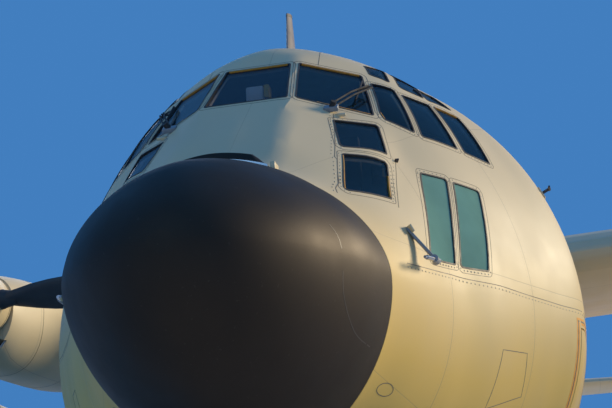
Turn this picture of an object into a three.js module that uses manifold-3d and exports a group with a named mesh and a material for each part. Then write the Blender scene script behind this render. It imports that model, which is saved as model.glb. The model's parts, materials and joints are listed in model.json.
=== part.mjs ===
// A four-engined high-wing military transport aeroplane, parked on its gear, at half size.
// Lengths below are metres on the real aeroplane. The root group turns them into millimetres at 1:2.
// +X points forward, +Y to port and +Z up. Stations are metres aft of the tip of the nose.
import * as THREE from 'three';
import { mergeVertices } from 'three/addons/utils/BufferGeometryUtils.js';
import Module from 'manifold-3d';

const wasm = await Module();
wasm.setup();

const MODEL_MM_PER_METRE = 500;

// Overall sizes
const LENGTH = 29.79;
const HALF_SPAN = 20.205;
const NOSE_X = LENGTH / 2;
const SEAM = 0.0012; // gap between fixed pieces that meet
const RUN = 0.016; // gap round a piece that turns
const PIN_GAP = 0.0008; // gap between a hinge pin and its hole

// Fuselage
const WALL = 0.1;
const RING_POINTS = 28; // round the outside
const INNER_POINTS = 18; // round the inside
const RADOME_JOINT = 1.28;
const RADOME_LEAN = -0.32; // how far the joint's upper part stands ahead, for each metre up
const LEAN_Z = 2.143;
const LEAN_END = 2.25;
const CABIN_JOINT = 4.9;
const REAR_JOINT = 16.8;
const TAIL_JOINT = 23.35;
const DECK_Z = 2.32; // flight deck floor
const HOLD_FLOOR_Z = 1.03;
const HOLD_HALF_WIDTH = 1.56;
const HOLD_TOP_Z = 3.76;

// station, half width, height of the widest point, top, bottom, roundness of the top and of the bottom
const FUSELAGE = [
  [0.000, 0.057, 2.126, 2.171, 2.066, 1.8, 1.8],
  [0.010, 0.102, 2.126, 2.206, 2.019, 1.8, 1.8],
  [0.038, 0.197, 2.127, 2.281, 1.920, 1.8, 1.8],
  [0.115, 0.340, 2.128, 2.394, 1.772, 1.8, 1.8],
  [0.256, 0.500, 2.129, 2.522, 1.606, 1.8, 1.8],
  [0.486, 0.675, 2.132, 2.662, 1.427, 1.8, 1.8],
  [0.794, 0.832, 2.137, 2.789, 1.267, 1.8, 1.8],
  [1.050, 0.921, 2.140, 2.863, 1.177, 1.8, 1.8],
  [1.280, 0.966, 2.143, 2.901, 1.133, 1.8, 1.8],
  [1.8, 1.138, 2.163, 3.296, 0.973, 1.75, 1.95],
  [2.25, 1.31, 2.195, 3.911, 0.855, 1.72, 2.1],
  [2.65, 1.53, 2.244, 4.27, 0.72, 1.76, 2.1],
  [3.05, 1.72, 2.297, 4.47, 0.606, 1.8, 2.06],
  [3.5, 1.94, 2.346, 4.59, 0.526, 1.86, 2.06],
  [3.95, 2.14, 2.401, 4.6, 0.471, 1.96, 2.1],
  [4.9, 2.18, 2.439, 4.604, 0.454, 2.0, 2.1],
  [16.8, 2.18, 2.439, 4.604, 0.454, 2.0, 2.12],
  [18.4, 2.1, 2.62, 4.55, 0.86, 2.0, 2.7],
  [20.4, 1.98, 2.98, 4.56, 1.62, 2.05, 3.0],
  [22.4, 1.72, 3.38, 4.57, 2.32, 2.1, 3.0],
  [24.4, 1.34, 3.74, 4.58, 2.95, 2.1, 2.8],
  [26.6, 0.82, 4.05, 4.6, 3.52, 2.1, 2.4],
  [28.7, 0.16, 4.3, 4.56, 4.05, 2.0, 2.0],
];

// Wing
const ROOT_CHORD = 4.88;
const TIP_CHORD = 2.52;
const KINK_Y = 5.43; // the outer wing starts and tapers here
const WING_LE = 10.36;
const TIP_LE = 10.8;
const WING_Z = 4.26;
const DIHEDRAL = Math.tan((2.5 * Math.PI) / 180);
const ROOT_THICKNESS = 0.18;
const TIP_THICKNESS = 0.12;
const FLAP_HINGE = 0.79; // part of the chord ahead of the hinge line
const AILERON_HINGE = 0.77;
const INNER_FLAP = [2.3, 5.36];
const OUTER_FLAP = [5.5, 12.4];
const AILERON = [12.5, 19.4];

// Engines and propellers
const ENGINE_Y = [5.02, 10.2];
const ENGINE_DROP = 0.5; // shaft below the wing's middle line
const PROP_STATION = 8.04;
const PROP_RADIUS = 2.055;
const SPINNER_RADIUS = 0.41;
const BLADES = 4;

// Gear
const NOSE_GEAR = 2.37;
const NOSE_WHEEL_RADIUS = 0.495;
const NOSE_WHEEL_WIDTH = 0.33;
const NOSE_WHEEL_Y = 0.28;
const MAIN_GEAR = [11.38, 12.9];
const MAIN_WHEEL_RADIUS = 0.71;
const MAIN_WHEEL_WIDTH = 0.51;
const MAIN_WHEEL_Y = 2.175;

// Tail
const STAB_Z = 4.62;
const STAB_HALF_SPAN = 8.025;
const STAB_ROOT_LE = 24.9;
const STAB_TIP_LE = 26.2;
const STAB_ROOT_CHORD = 3.25;
const STAB_TIP_CHORD = 1.65;
const FIN_TOP = 11.66;
const ELEVATOR_HINGE = 0.62;
const ELEVATOR = [0.85, 7.6];
const RUDDER_HINGE = 0.66;
const RUDDER = [4.98, 11.25];

// Paint and other finishes: colour, roughness, metalness
const FINISHES = {
  paint: [0xcbbd98, 0.35, 0.0],
  tail: [0xcbbd98, 0.35, 0.0],
  radome: [0x17181a, 0.55, 0.0],
  glass: [0x22363c, 0.08, 0.0],
  rubber: [0x1c1c1d, 0.85, 0.0],
  metal: [0x9a9d9f, 0.4, 0.9],
  blade: [0x4a4c4e, 0.5, 0.3],
  interior: [0x6c7468, 0.8, 0.0],
  seat: [0x59604a, 0.85, 0.0],
  floor: [0x7b7d78, 0.7, 0.2],
};

// Shape helpers

function closedGeometry(positions, triangles) {
  const geometry = new THREE.BufferGeometry();
  geometry.setAttribute('position', new THREE.Float32BufferAttribute(positions, 3));
  geometry.setIndex(triangles);
  return geometry;
}

function volume(positions, triangles) {
  let sum = 0;
  const a = new THREE.Vector3();
  const b = new THREE.Vector3();
  const c = new THREE.Vector3();
  for (let i = 0; i < triangles.length; i += 3) {
    a.fromArray(positions, 3 * triangles[i]);
    b.fromArray(positions, 3 * triangles[i + 1]);
    c.fromArray(positions, 3 * triangles[i + 2]);
    sum += a.dot(b.cross(c)) / 6;
  }
  return sum;
}

// A solid from a closed geometry, with its faces turned outward.
function solid(geometry) {
  const bare = geometry.clone();
  bare.deleteAttribute('normal');
  bare.deleteAttribute('uv');
  const merged = mergeVertices(bare, 1e-5);
  const positions = Array.from(merged.attributes.position.array);
  const triangles = Array.from(merged.index.array);
  const kept = [];
  for (let i = 0; i < triangles.length; i += 3) {
    const [p, q, r] = triangles.slice(i, i + 3);
    if (p !== q && q !== r && r !== p) kept.push(p, q, r);
  }
  if (volume(positions, kept) < 0) kept.reverse();
  return new wasm.Manifold(
    new wasm.Mesh({
      numProp: 3,
      vertProperties: new Float32Array(positions),
      triVerts: new Uint32Array(kept),
    }),
  );
}

function geometryOf(body) {
  const mesh = body.getMesh();
  return closedGeometry(Array.from(mesh.vertProperties), Array.from(mesh.triVerts));
}

// A solid through rings of equally many points, closed at both ends from each ring's middle.
function loft(rings) {
  const count = rings[0].length;
  const positions = rings.flat(2);
  const triangles = [];
  for (let i = 0; i + 1 < rings.length; i++) {
    for (let j = 0; j < count; j++) {
      const a = i * count + j;
      const b = i * count + ((j + 1) % count);
      triangles.push(a, b, b + count, a, b + count, a + count);
    }
  }
  for (const [ring, side] of [[0, -1], [rings.length - 1, 1]]) {
    const middle = positions.length / 3;
    const sum = rings[ring].reduce((t, p) => [t[0] + p[0], t[1] + p[1], t[2] + p[2]], [0, 0, 0]);
    positions.push(sum[0] / count, sum[1] / count, sum[2] / count);
    for (let j = 0; j < count; j++) {
      const a = ring * count + j;
      const b = ring * count + ((j + 1) % count);
      if (side < 0) triangles.push(b, a, middle);
      else triangles.push(a, b, middle);
    }
  }
  return solid(closedGeometry(positions, triangles));
}

// A box between two stations, two heights and two sides.
function box(s0, s1, y0, y1, z0, z1) {
  const geometry = new THREE.BoxGeometry(s1 - s0, y1 - y0, z1 - z0);
  geometry.translate(NOSE_X - (s0 + s1) / 2, (y0 + y1) / 2, (z0 + z1) / 2);
  return solid(geometry);
}

// A prism across the aeroplane, from a convex outline of [station, height]
function slab(outline, y0, y1) {
  return loft([y0, y1].map((y) => outline.map(([s, z]) => [NOSE_X - s, y, z])));
}

function point(s, y, z) {
  return new THREE.Vector3(NOSE_X - s, y, z);
}

// A round bar between two points, each [station, y, z], turned about its own line
function bar(from, to, radius, sides = 12, endRadius = radius, turn = 0) {
  const a = point(...from);
  const b = point(...to);
  const geometry = new THREE.CylinderGeometry(endRadius, radius, a.distanceTo(b), sides);
  geometry.rotateY(turn);
  const along = b.clone().sub(a).normalize();
  geometry.applyQuaternion(new THREE.Quaternion().setFromUnitVectors(new THREE.Vector3(0, 1, 0), along));
  geometry.translate((a.x + b.x) / 2, (a.y + b.y) / 2, (a.z + b.z) / 2);
  return solid(geometry);
}

// The hole that a round bar turns in. Its flats face the bar's corners and stand off them by the pin gap.
function hole(from, to, radius, sides) {
  const reach = (radius + PIN_GAP) / Math.cos(Math.PI / sides);
  return bar(from, to, reach, sides, reach, Math.PI / sides);
}

// A profile of [radius, distance] turned about a line through [station, y, z] along the given direction.
function turned(profile, centre, direction, sides = 24) {
  const geometry = new THREE.LatheGeometry(profile.map(([r, d]) => new THREE.Vector2(r, d)), sides);
  const along = new THREE.Vector3(...direction).normalize();
  geometry.applyQuaternion(new THREE.Quaternion().setFromUnitVectors(new THREE.Vector3(0, 1, 0), along));
  const middle = point(...centre);
  geometry.translate(middle.x, middle.y, middle.z);
  return solid(geometry);
}

function mirrored(body) {
  const geometry = geometryOf(body);
  geometry.scale(1, -1, 1);
  return solid(geometry);
}

function moved(body, x, y, z) {
  const geometry = geometryOf(body);
  geometry.translate(x, y, z);
  return solid(geometry);
}

// A body grown by a gap along each axis, to cut its bed in a neighbour
const WAYS = { x: [1, 0, 0], y: [0, 1, 0], z: [0, 0, 1] };

function swell(body, gap, axes = 'xyz') {
  const ways = [...axes].flatMap((axis) => [WAYS[axis], WAYS[axis].map((part) => -part)]);
  return union(ways.map((way) => moved(body, way[0] * gap, way[1] * gap, way[2] * gap)));
}

// The biggest of the pieces that a cut leaves
function largest(body) {
  return body.decompose().sort((a, b) => b.volume() - a.volume())[0];
}

function union(bodies) {
  return bodies.reduce((whole, body) => whole.add(body));
}

// Smooth curve through a column of a table of stations, without overshoot
function column(table, index, s) {
  let i = 0;
  while (i + 2 < table.length && table[i + 1][0] <= s) i++;
  const slope = (k) => (table[k + 1][index] - table[k][index]) / (table[k + 1][0] - table[k][0]);
  const tangent = (k) => {
    if (k <= 0) return slope(0);
    if (k >= table.length - 1) return slope(table.length - 2);
    const a = slope(k - 1);
    const b = slope(k);
    return a * b <= 0 ? 0 : (2 * a * b) / (a + b);
  };
  const span = table[i + 1][0] - table[i][0];
  const t = (s - table[i][0]) / span;
  const t2 = t * t;
  const t3 = t2 * t;
  return (
    (2 * t3 - 3 * t2 + 1) * table[i][index] +
    (t3 - 2 * t2 + t) * span * tangent(i) +
    (-2 * t3 + 3 * t2) * table[i + 1][index] +
    (t3 - t2) * span * tangent(i + 1)
  );
}

// The rings near the radome's joint lean forward at the top
function lean(s) {
  const part = s < RADOME_JOINT ? s / RADOME_JOINT : (LEAN_END - s) / (LEAN_END - RADOME_JOINT);
  return RADOME_LEAN * Math.max(part, 0);
}

// One ring of the fuselage, drawn in by the wall's thickness
function fuselageRing(s, inset = 0) {
  const [halfWidth, wide, top, bottom, topPower, bottomPower] = [1, 2, 3, 4, 5, 6].map((c) =>
    column(FUSELAGE, c, s),
  );
  const ring = [];
  const points = inset ? INNER_POINTS : RING_POINTS;
  for (let i = 0; i < points; i++) {
    const angle = (2 * Math.PI * i) / points;
    const c = Math.cos(angle);
    const d = Math.sin(angle);
    const power = d >= 0 ? topPower : bottomPower;
    const y = Math.sign(c) * Math.pow(Math.abs(c), 2 / power) * Math.max(halfWidth - inset, 0.01);
    const reach = d >= 0 ? top - wide - inset : wide - bottom - inset;
    const z = wide + Math.sign(d) * Math.pow(Math.abs(d), 2 / power) * Math.max(reach, 0.01);
    ring.push([NOSE_X - s - lean(s) * (z - LEAN_Z), y, z]);
  }
  return ring;
}

function fuselage(stations, inset = 0) {
  return loft(stations.map((s) => fuselageRing(s, inset)));
}

// Flat facets that the windshields lie in: a point on each plane as [station, y, z], its outward direction as
// [forward, port, up], and the windshield's corners as [y, z]. The second is mirrored to starboard.
const FACETS = [
  {
    point: [1.933, 0.0, 3.572],
    out: [0.684, 0.0, 0.73],
    corners: [[-0.235, 4.06], [0.235, 4.06], [0.287, 3.59], [-0.287, 3.59]],
  },
  {
    point: [1.959, 0.334, 3.574],
    out: [0.569, 0.518, 0.639],
    corners: [[0.295, 4.07], [0.69, 4.09], [0.815, 3.55], [0.331, 3.59]],
  },
];
const FACET_FRAME = 0.06;
const FACET_FLARE = 0.9; // how far the cut spreads beyond the frame
const FACET_RISE = 0.3; // and how high it stands there

// The solid in front of a facet, moved inward by the inset. Its sides lean outward.
function facetCutters(inset) {
  const cutters = [];
  for (const facet of FACETS) {
    for (const side of facet.out[1] ? [1, -1] : [1]) {
      const [ahead, port, up] = facet.out;
      const out = new THREE.Vector3(ahead, side * port, up).normalize();
      const [s0, y0, z0] = facet.point;
      const corners = facet.corners.map(([y, z]) => {
        const s = s0 + (port * (y - y0) + up * (z - z0)) / ahead;
        return point(s, side * y, z).addScaledVector(out, -inset);
      });
      const middle = new THREE.Vector3();
      for (const corner of corners) middle.addScaledVector(corner, 1 / corners.length);
      const ring = (spread, rise) =>
        corners.map((corner) => {
          const away = corner.clone().sub(middle).normalize();
          return corner.clone().addScaledVector(away, spread).addScaledVector(out, rise).toArray();
        });
      cutters.push(loft([ring(FACET_FRAME, 0), ring(FACET_FRAME + FACET_FLARE, FACET_RISE)]));
    }
  }
  return cutters;
}

const NOSE_STATIONS = [RADOME_JOINT, 1.54, 1.8, 2.02, 2.25, 2.5, 2.75, 3.05, 3.35, 3.65, 3.95, 4.4, 4.9];
const CABIN_STATIONS = [4.9, 5.4, 16.8];
const REAR_STATIONS = [16.8, 17.6, 18.4, 19.4, 20.4, 21.4, 22.4, 23.35];
const TAIL_STATIONS = [23.35, 24.4, 25.5, 26.6, 27.7, 28.7];

function noseShell(inset, from, to) {
  const inner = NOSE_STATIONS.filter((s) => s > from && s < to);
  let body = fuselage([from, ...inner, to], inset);
  for (const cutter of facetCutters(inset)) body = body.subtract(cutter);
  return body;
}

// Wing sections

// Upper and lower thickness of a section at a part of its chord, each as a part of the chord
function sectionHeights(x, thickness) {
  const half =
    5 * thickness * (0.2969 * Math.sqrt(x) - 0.126 * x - 0.3516 * x * x + 0.2843 * x ** 3 - 0.1036 * x ** 4);
  const camber = 0.018 * 4 * x * (1 - x);
  return [camber + half, camber - half];
}

const SECTION_PARTS = [0.0, 0.015, 0.05, 0.12, 0.22, 0.36, 0.52, 0.68, 0.84, 1.0];
const TRAILING_EDGE = 0.006;

// A ring in the plane of one span position. plan gives leading edge, chord, height and thickness.
function sectionRing(plan, span, place) {
  const { le, chord, z, thickness, camber = 1 } = plan(span);
  const upper = [];
  const lower = [];
  for (const x of SECTION_PARTS) {
    const [u, l] = sectionHeights(x, thickness);
    const shift = camber ? 0 : (u + l) / 2;
    const edge = x === 1 ? TRAILING_EDGE / chord : 0;
    upper.push([le + x * chord, (u - shift + edge) * chord, z]);
    if (x > 0) lower.unshift([le + x * chord, (l - shift - edge) * chord, z]);
  }
  return [...upper, ...lower].map(([s, h, base]) => place(s, h, span, base));
}

const flat = (s, h, span, base) => [NOSE_X - s, span, base + h];
const upright = (s, h, span) => [NOSE_X - s, h, span];

function wingPlan(y) {
  const t = Math.max(0, (Math.abs(y) - KINK_Y) / (HALF_SPAN - KINK_Y));
  return {
    le: WING_LE + t * (TIP_LE - WING_LE),
    chord: ROOT_CHORD + t * (TIP_CHORD - ROOT_CHORD),
    z: WING_Z + Math.abs(y) * DIHEDRAL,
    thickness: ROOT_THICKNESS + (Math.abs(y) / HALF_SPAN) * (TIP_THICKNESS - ROOT_THICKNESS),
  };
}

function stabPlan(y) {
  const t = Math.abs(y) / STAB_HALF_SPAN;
  return {
    le: STAB_ROOT_LE + t * (STAB_TIP_LE - STAB_ROOT_LE),
    chord: STAB_ROOT_CHORD + t * (STAB_TIP_CHORD - STAB_ROOT_CHORD),
    z: STAB_Z,
    thickness: 0.12,
    camber: 0,
  };
}

const FIN_ROOT_Z = 4.45;
const FIN_ROOT_LE = 24.75;
const FIN_TIP_LE = 27.3;
const FIN_ROOT_TE = 29.3;
const FIN_TIP_TE = 29.8004;

function finPlan(z) {
  const t = (z - FIN_ROOT_Z) / (FIN_TOP - FIN_ROOT_Z);
  const le = FIN_ROOT_LE + t * (FIN_TIP_LE - FIN_ROOT_LE);
  const te = FIN_ROOT_TE + t * (FIN_TIP_TE - FIN_ROOT_TE);
  return { le, chord: te - le, z: 0, thickness: 0.13 - 0.03 * t, camber: 0 };
}

// The point on a section's middle line at a part of its chord
function middleLine(plan, span, part, place) {
  const { le, chord, z, thickness, camber = 1 } = plan(span);
  const [u, l] = sectionHeights(part, thickness);
  const h = camber ? ((u + l) / 2) * chord : 0;
  return { at: place(le + part * chord, h, span, z), radius: ((u - l) / 2) * chord };
}

// The space that a trailing surface takes: a round nose about its hinge line, and all behind it
const NOSE_ARC = 8;

function surfaceSpace(plan, part, from, to, place, growth) {
  const rings = [from, to].map((span) => {
    const { at, radius } = middleLine(plan, span, part, place);
    const r = radius * 1.02 + growth;
    const ring = [];
    for (let i = 0; i <= NOSE_ARC; i++) {
      const angle = Math.PI / 2 + (Math.PI * i) / NOSE_ARC;
      ring.push([Math.cos(angle) * r, Math.sin(angle) * r]);
    }
    ring.push([4, -r], [4, r]);
    return ring.map(([back, out]) =>
      place === flat ? [at[0] - back, at[1], at[2] + out] : [at[0] - back, at[1] + out, at[2]],
    );
  });
  return loft(rings);
}

// A hinge pin that stands out of fixed structure into a surface's end, and the hole for it
const PIN_RADIUS = 0.02;
const PIN_REACH = 0.08;
const PIN_ROOT = 0.03;

function pinLine(plan, part, from, to, place) {
  const a = new THREE.Vector3(...middleLine(plan, from, part, place).at);
  const b = new THREE.Vector3(...middleLine(plan, to, part, place).at);
  return { a, b, along: b.clone().sub(a).normalize() };
}

const PIN_SIDES = 8;

const placeOf = (v) => [NOSE_X - v.x, v.y, v.z];

// Parts a trailing surface from its wing: returns the wing, the surface and nothing shared
function partSurface(wing, plan, part, from, to, place, endGap = RUN) {
  const space = surfaceSpace(plan, part, from, to, place, RUN);
  let surface = wing.intersect(surfaceSpace(plan, part, from + endGap, to - endGap, place, 0));
  let rest = wing.subtract(space);
  const { a, b, along } = pinLine(plan, part, from, to, place);
  for (const [end, way] of [[a, 1], [b, -1]]) {
    const root = end.clone().addScaledVector(along, -way * PIN_ROOT);
    const tip = end.clone().addScaledVector(along, way * PIN_REACH);
    const deeper = end.clone().addScaledVector(along, way * (PIN_REACH + PIN_GAP));
    const outside = end.clone().addScaledVector(along, -way * PIN_ROOT);
    rest = rest.add(bar(placeOf(root), placeOf(tip), PIN_RADIUS, PIN_SIDES));
    surface = surface.subtract(hole(placeOf(outside), placeOf(deeper), PIN_RADIUS, PIN_SIDES));
  }
  return { rest, surface };
}

const pieces = new Map();

function put(name, body, finish) {
  pieces.set(name, { body, finish });
}

function putPair(name, body, finish) {
  put(`${name}_left`, body, finish);
  put(`${name}_right`, mirrored(body), finish);
}

// Wing

const halfCentre = loft([-0.05, 0, KINK_Y].map((y) => sectionRing(wingPlan, y, flat)));
const centreParted = partSurface(halfCentre, wingPlan, FLAP_HINGE, ...INNER_FLAP, flat);
const innerFlap = centreParted.surface;
const centreWing = centreParted.rest.add(mirrored(centreParted.rest));

const TIP_ROUND = 0.25;
const tipRing = (y, length, depth) => {
  const ring = sectionRing(wingPlan, HALF_SPAN - TIP_ROUND, flat);
  const middleX = ring.reduce((sum, p) => sum + p[0] / ring.length, 0);
  const middleZ = ring.reduce((sum, p) => sum + p[2] / ring.length, 0);
  return ring.map((p) => [middleX + (p[0] - middleX) * length, y, middleZ + (p[2] - middleZ) * depth]);
};
let outerWing = loft([
  sectionRing(wingPlan, KINK_Y + SEAM, flat),
  sectionRing(wingPlan, HALF_SPAN - TIP_ROUND, flat),
  tipRing(HALF_SPAN - 0.08, 0.95, 0.75),
  tipRing(HALF_SPAN, 0.84, 0.2),
]);
const flapParted = partSurface(outerWing, wingPlan, FLAP_HINGE, ...OUTER_FLAP, flat);
const aileronParted = partSurface(flapParted.rest, wingPlan, AILERON_HINGE, ...AILERON, flat);
outerWing = aileronParted.rest;
put('wing_center', centreWing, 'paint');
putPair('wing', outerWing, 'paint');
putPair('flap_inner', innerFlap, 'paint');
putPair('flap_outer', flapParted.surface, 'paint');
putPair('aileron', aileronParted.surface, 'paint');

// Fuselage shells

const wingBed = swell(halfCentre.add(mirrored(halfCentre)).intersect(box(9, 16, -2.25, 2.25, 3.5, 5.5)), SEAM, 'xz');

// Nose: flight deck above, entry bay and gear well below
let nose = noseShell(0, RADOME_JOINT, CABIN_JOINT - SEAM);
const DECK_FRONT = 1.42;
const deckCavity = noseShell(WALL, DECK_FRONT, CABIN_JOINT + 0.1).intersect(box(1, 5.1, -2.2, 2.2, DECK_Z, 4.6));
nose = nose.subtract(deckCavity);
const ENTRY_FRONT = 3.5;
const entryCavity = noseShell(WALL, ENTRY_FRONT, CABIN_JOINT + 0.1).intersect(
  box(ENTRY_FRONT - 0.1, 5.1, -HOLD_HALF_WIDTH, 2.2, HOLD_FLOOR_Z, DECK_Z - 0.12),
);
nose = nose.subtract(entryCavity);
const NOSE_WELL = { from: 1.74, to: 3.3, half: 0.72, top: 1.72 };
nose = nose.subtract(box(NOSE_WELL.from, NOSE_WELL.to, -NOSE_WELL.half, NOSE_WELL.half, 0, NOSE_WELL.top));

// The flight deck's windows: corners on the skin as [station, y, z]. All but the first are mirrored to starboard.
const WINDOWS = {
  windshieldMiddle: [[2.46, -0.235, 4.06], [2.46, 0.235, 4.06], [1.99, 0.287, 3.588], [1.99, -0.287, 3.588]],
  windshieldSide: [[2.485, 0.298, 4.064], [2.831, 0.7, 4.054], [2.368, 0.816, 3.547], [2.021, 0.331, 3.591]],
  eyebrowFront: [[2.93, 0.75, 4.09], [3.02, 0.9, 4.03], [3.26, 0.83, 4.21], [3.31, 0.77, 4.28], [3.03, 0.7, 4.21]],
  eyebrowMiddle: [[3.056, 0.956, 4.005], [3.245, 1.11, 3.975], [3.55, 1.02, 4.2], [3.33, 0.84, 4.246]],
  eyebrowRear: [[3.284, 1.143, 3.96], [3.603, 1.298, 3.976], [3.64, 1.15, 4.13], [3.35, 1.04, 4.1]],
  sideFront: [[2.78, 0.78, 3.968], [2.889, 0.917, 3.927], [2.572, 1.07, 3.449], [2.417, 0.886, 3.52], [2.447, 0.859, 3.591]],
  sideMiddle: [[2.907, 0.979, 3.885], [3.182, 1.146, 3.883], [2.96, 1.339, 3.422], [2.614, 1.118, 3.431]],
  sideRear: [[3.242, 1.179, 3.885], [3.524, 1.342, 3.876], [3.312, 1.557, 3.393], [3.034, 1.385, 3.418]],
  lowerUpper: [[2.0, 0.588, 3.399], [2.29, 0.84, 3.424], [2.083, 0.902, 3.134], [1.76, 0.65, 3.116]],
  lowerLower: [[1.69, 0.669, 3.033], [1.996, 0.907, 3.045], [1.767, 0.95, 2.738], [1.376, 0.73, 2.722]],
  tallFront: [[2.332, 1.106, 3.071], [2.544, 1.259, 3.071], [2.235, 1.279, 2.389], [1.895, 1.151, 2.363]],
  tallRear: [[2.598, 1.303, 3.058], [2.866, 1.466, 3.058], [2.591, 1.475, 2.403], [2.297, 1.312, 2.386]],
};
const WINDOW_CORNER = 0.035; // cut off each corner
const WINDOW_REACH = 0.25; // the cut's length each way from the skin

// The cut through the wall for one window, square to the window's own plane
function windowCut(corners) {
  const vertices = corners.map((corner) => point(...corner));
  const out = new THREE.Vector3();
  const outline = [];
  vertices.forEach((vertex, i) => {
    const next = vertices[(i + 1) % vertices.length];
    const before = vertices[(i + vertices.length - 1) % vertices.length];
    out.add(vertex.clone().cross(next));
    for (const neighbour of [before, next]) {
      outline.push(vertex.clone().addScaledVector(neighbour.clone().sub(vertex).normalize(), WINDOW_CORNER));
    }
  });
  out.normalize();
  return loft([-WINDOW_REACH, WINDOW_REACH].map((d) => outline.map((v) => v.clone().addScaledVector(out, d).toArray())));
}

for (const corners of Object.values(WINDOWS)) {
  const cut = windowCut(corners);
  nose = nose.subtract(cut);
  if (corners !== WINDOWS.windshieldMiddle) nose = nose.subtract(mirrored(cut));
}

// What the glass shows: the deck plate with the instrument panel, its shelf, the pedestal and two seats
let deckFittings = box(2.34, 3.8, -0.8, 0.8, DECK_Z + SEAM, DECK_Z + 0.03)
  .add(box(2.34, 2.44, -0.7, 0.7, DECK_Z + SEAM, 3.4))
  .add(box(2.2, 2.5, -0.52, 0.52, 3.36, 3.41))
  .add(box(2.4, 3.05, -0.16, 0.16, DECK_Z + SEAM, 2.92));
const SEAT = { y: 0.52, half: 0.25, from: 3.08, to: 3.52, cushion: 2.78, back: 3.4, head: 3.62 };
for (const side of [1, -1]) {
  const seatBox = (s0, s1, half, z0, z1) => box(s0, s1, side * SEAT.y - half, side * SEAT.y + half, z0, z1);
  deckFittings = deckFittings
    .add(seatBox(SEAT.from + 0.08, SEAT.to, SEAT.half - 0.06, DECK_Z + SEAM, SEAT.cushion - 0.1))
    .add(seatBox(SEAT.from, SEAT.to + 0.06, SEAT.half, SEAT.cushion - 0.12, SEAT.cushion))
    .add(seatBox(SEAT.to - 0.06, SEAT.to + 0.06, SEAT.half - 0.02, SEAT.cushion - 0.02, SEAT.back))
    .add(seatBox(SEAT.to - 0.04, SEAT.to + 0.05, 0.12, SEAT.back - 0.02, SEAT.head));
}
put('deck_fittings', deckFittings, 'interior');

// Crew door, hinged along its sill and opening outward
const CREW_DOOR = { from: 3.84, to: 4.6, sill: 1.06, top: 2.17, hinge: [[3.84, 1.536], [4.6, 1.606]], hingeZ: 1.09 };
const DOOR_PIN = 0.014;
const crewDoorSpace = (gap, sillGap = gap) =>
  box(CREW_DOOR.from - gap, CREW_DOOR.to + gap, 1.3, 2.4, CREW_DOOR.sill - sillGap, CREW_DOOR.top + gap);
let crewDoor = noseShell(0, 3.5, 4.85)
  .subtract(noseShell(WALL, 3.45, 4.9))
  .intersect(crewDoorSpace(0));
nose = nose.subtract(crewDoorSpace(RUN, 0.035));
const [[doorFront, doorFrontY], [doorBack, doorBackY]] = CREW_DOOR.hinge;
const sillLine = (s) => {
  const t = (s - doorFront) / (doorBack - doorFront);
  return [s, doorFrontY + t * (doorBackY - doorFrontY), CREW_DOOR.hingeZ];
};
for (const [end, way] of [[doorFront, 1], [doorBack, -1]]) {
  const outer = sillLine(end - way * 0.05);
  nose = nose.add(bar(outer, sillLine(end + way * 0.05), DOOR_PIN, PIN_SIDES));
  crewDoor = crewDoor.subtract(hole(outer, sillLine(end + way * (0.05 + PIN_GAP)), DOOR_PIN, PIN_SIDES));
}
put('crew_door', crewDoor, 'paint');

// Cabin: the hold's walls and floor
let cabin = fuselage(CABIN_STATIONS);
const MAIN_WELL = { from: 10.5, to: 13.78, inner: 1.64, outer: 2.52, top: 1.66, wall: 0.08 };
const wellHousing = box(
  MAIN_WELL.from - MAIN_WELL.wall,
  MAIN_WELL.to + MAIN_WELL.wall,
  MAIN_WELL.inner - MAIN_WELL.wall,
  2.6,
  0,
  MAIN_WELL.top + MAIN_WELL.wall,
);
const holdSpace = fuselage([4.8, 5.4, 16.9], WALL)
  .intersect(box(4.7, 17, -2.2, 2.2, HOLD_FLOOR_Z, HOLD_TOP_Z))
  .subtract(wellHousing)
  .subtract(mirrored(wellHousing));
cabin = cabin.subtract(holdSpace).subtract(wingBed);

// Rear: hold above the ramp and cargo door
let rear = fuselage([REAR_JOINT + SEAM, ...REAR_STATIONS.slice(1, -1), TAIL_JOINT - SEAM]);
const rearSpace = fuselage([16.7, 16.8, 18.4, 20.4, 22.4, 23.4], WALL).intersect(
  box(16.6, 23.4, -2.2, 2.2, HOLD_FLOOR_Z, HOLD_TOP_Z + 0.3),
);
const rearShell = rear.subtract(rearSpace);

// Loading ramp, hinged low at its front edge, and the door behind it, which swings up inside
const RAMP = { hingeS: 16.96, hingeZ: 0.62, end: 19.9, half: 1.5, nose: 0.06, ear: 0.045, earY: [0.5, 0.6] };
const CARGO_DOOR = { hingeS: 23.02, hingeZ: 2.76, from: 20.0, half: 1.25, nose: 0.07 };
const rampSpace = (gap) =>
  slab(
    [
      [RAMP.hingeS - gap, 2.2],
      [RAMP.hingeS - gap, RAMP.hingeZ],
      [RAMP.hingeS + 0.21 - gap, 0.2],
      [RAMP.end + gap, 0.2],
      [RAMP.end + gap, 2.2],
    ],
    -RAMP.half - gap,
    RAMP.half + gap,
  ).add(
    bar([RAMP.hingeS, -RAMP.half - gap, RAMP.hingeZ], [RAMP.hingeS, RAMP.half + gap, RAMP.hingeZ], RAMP.nose + gap, 16),
  );
const cargoDoorSpace = (gap) =>
  slab(
    [
      [CARGO_DOOR.from - gap, 1.0],
      [22.68 + gap, 2.1],
      [22.72 + gap, 2.4],
      [CARGO_DOOR.hingeS + gap, CARGO_DOOR.hingeZ],
      [CARGO_DOOR.hingeS + gap, 3.0],
      [CARGO_DOOR.from - gap, 2.1],
    ],
    -CARGO_DOOR.half - gap,
    CARGO_DOOR.half + gap,
  ).add(
    bar(
      [CARGO_DOOR.hingeS, -CARGO_DOOR.half - gap, CARGO_DOOR.hingeZ],
      [CARGO_DOOR.hingeS, CARGO_DOOR.half + gap, CARGO_DOOR.hingeZ],
      CARGO_DOOR.nose + gap,
      16,
    ),
  );
let ramp = rearShell.intersect(rampSpace(0));
let cargoDoor = rearShell.intersect(cargoDoorSpace(0));
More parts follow.
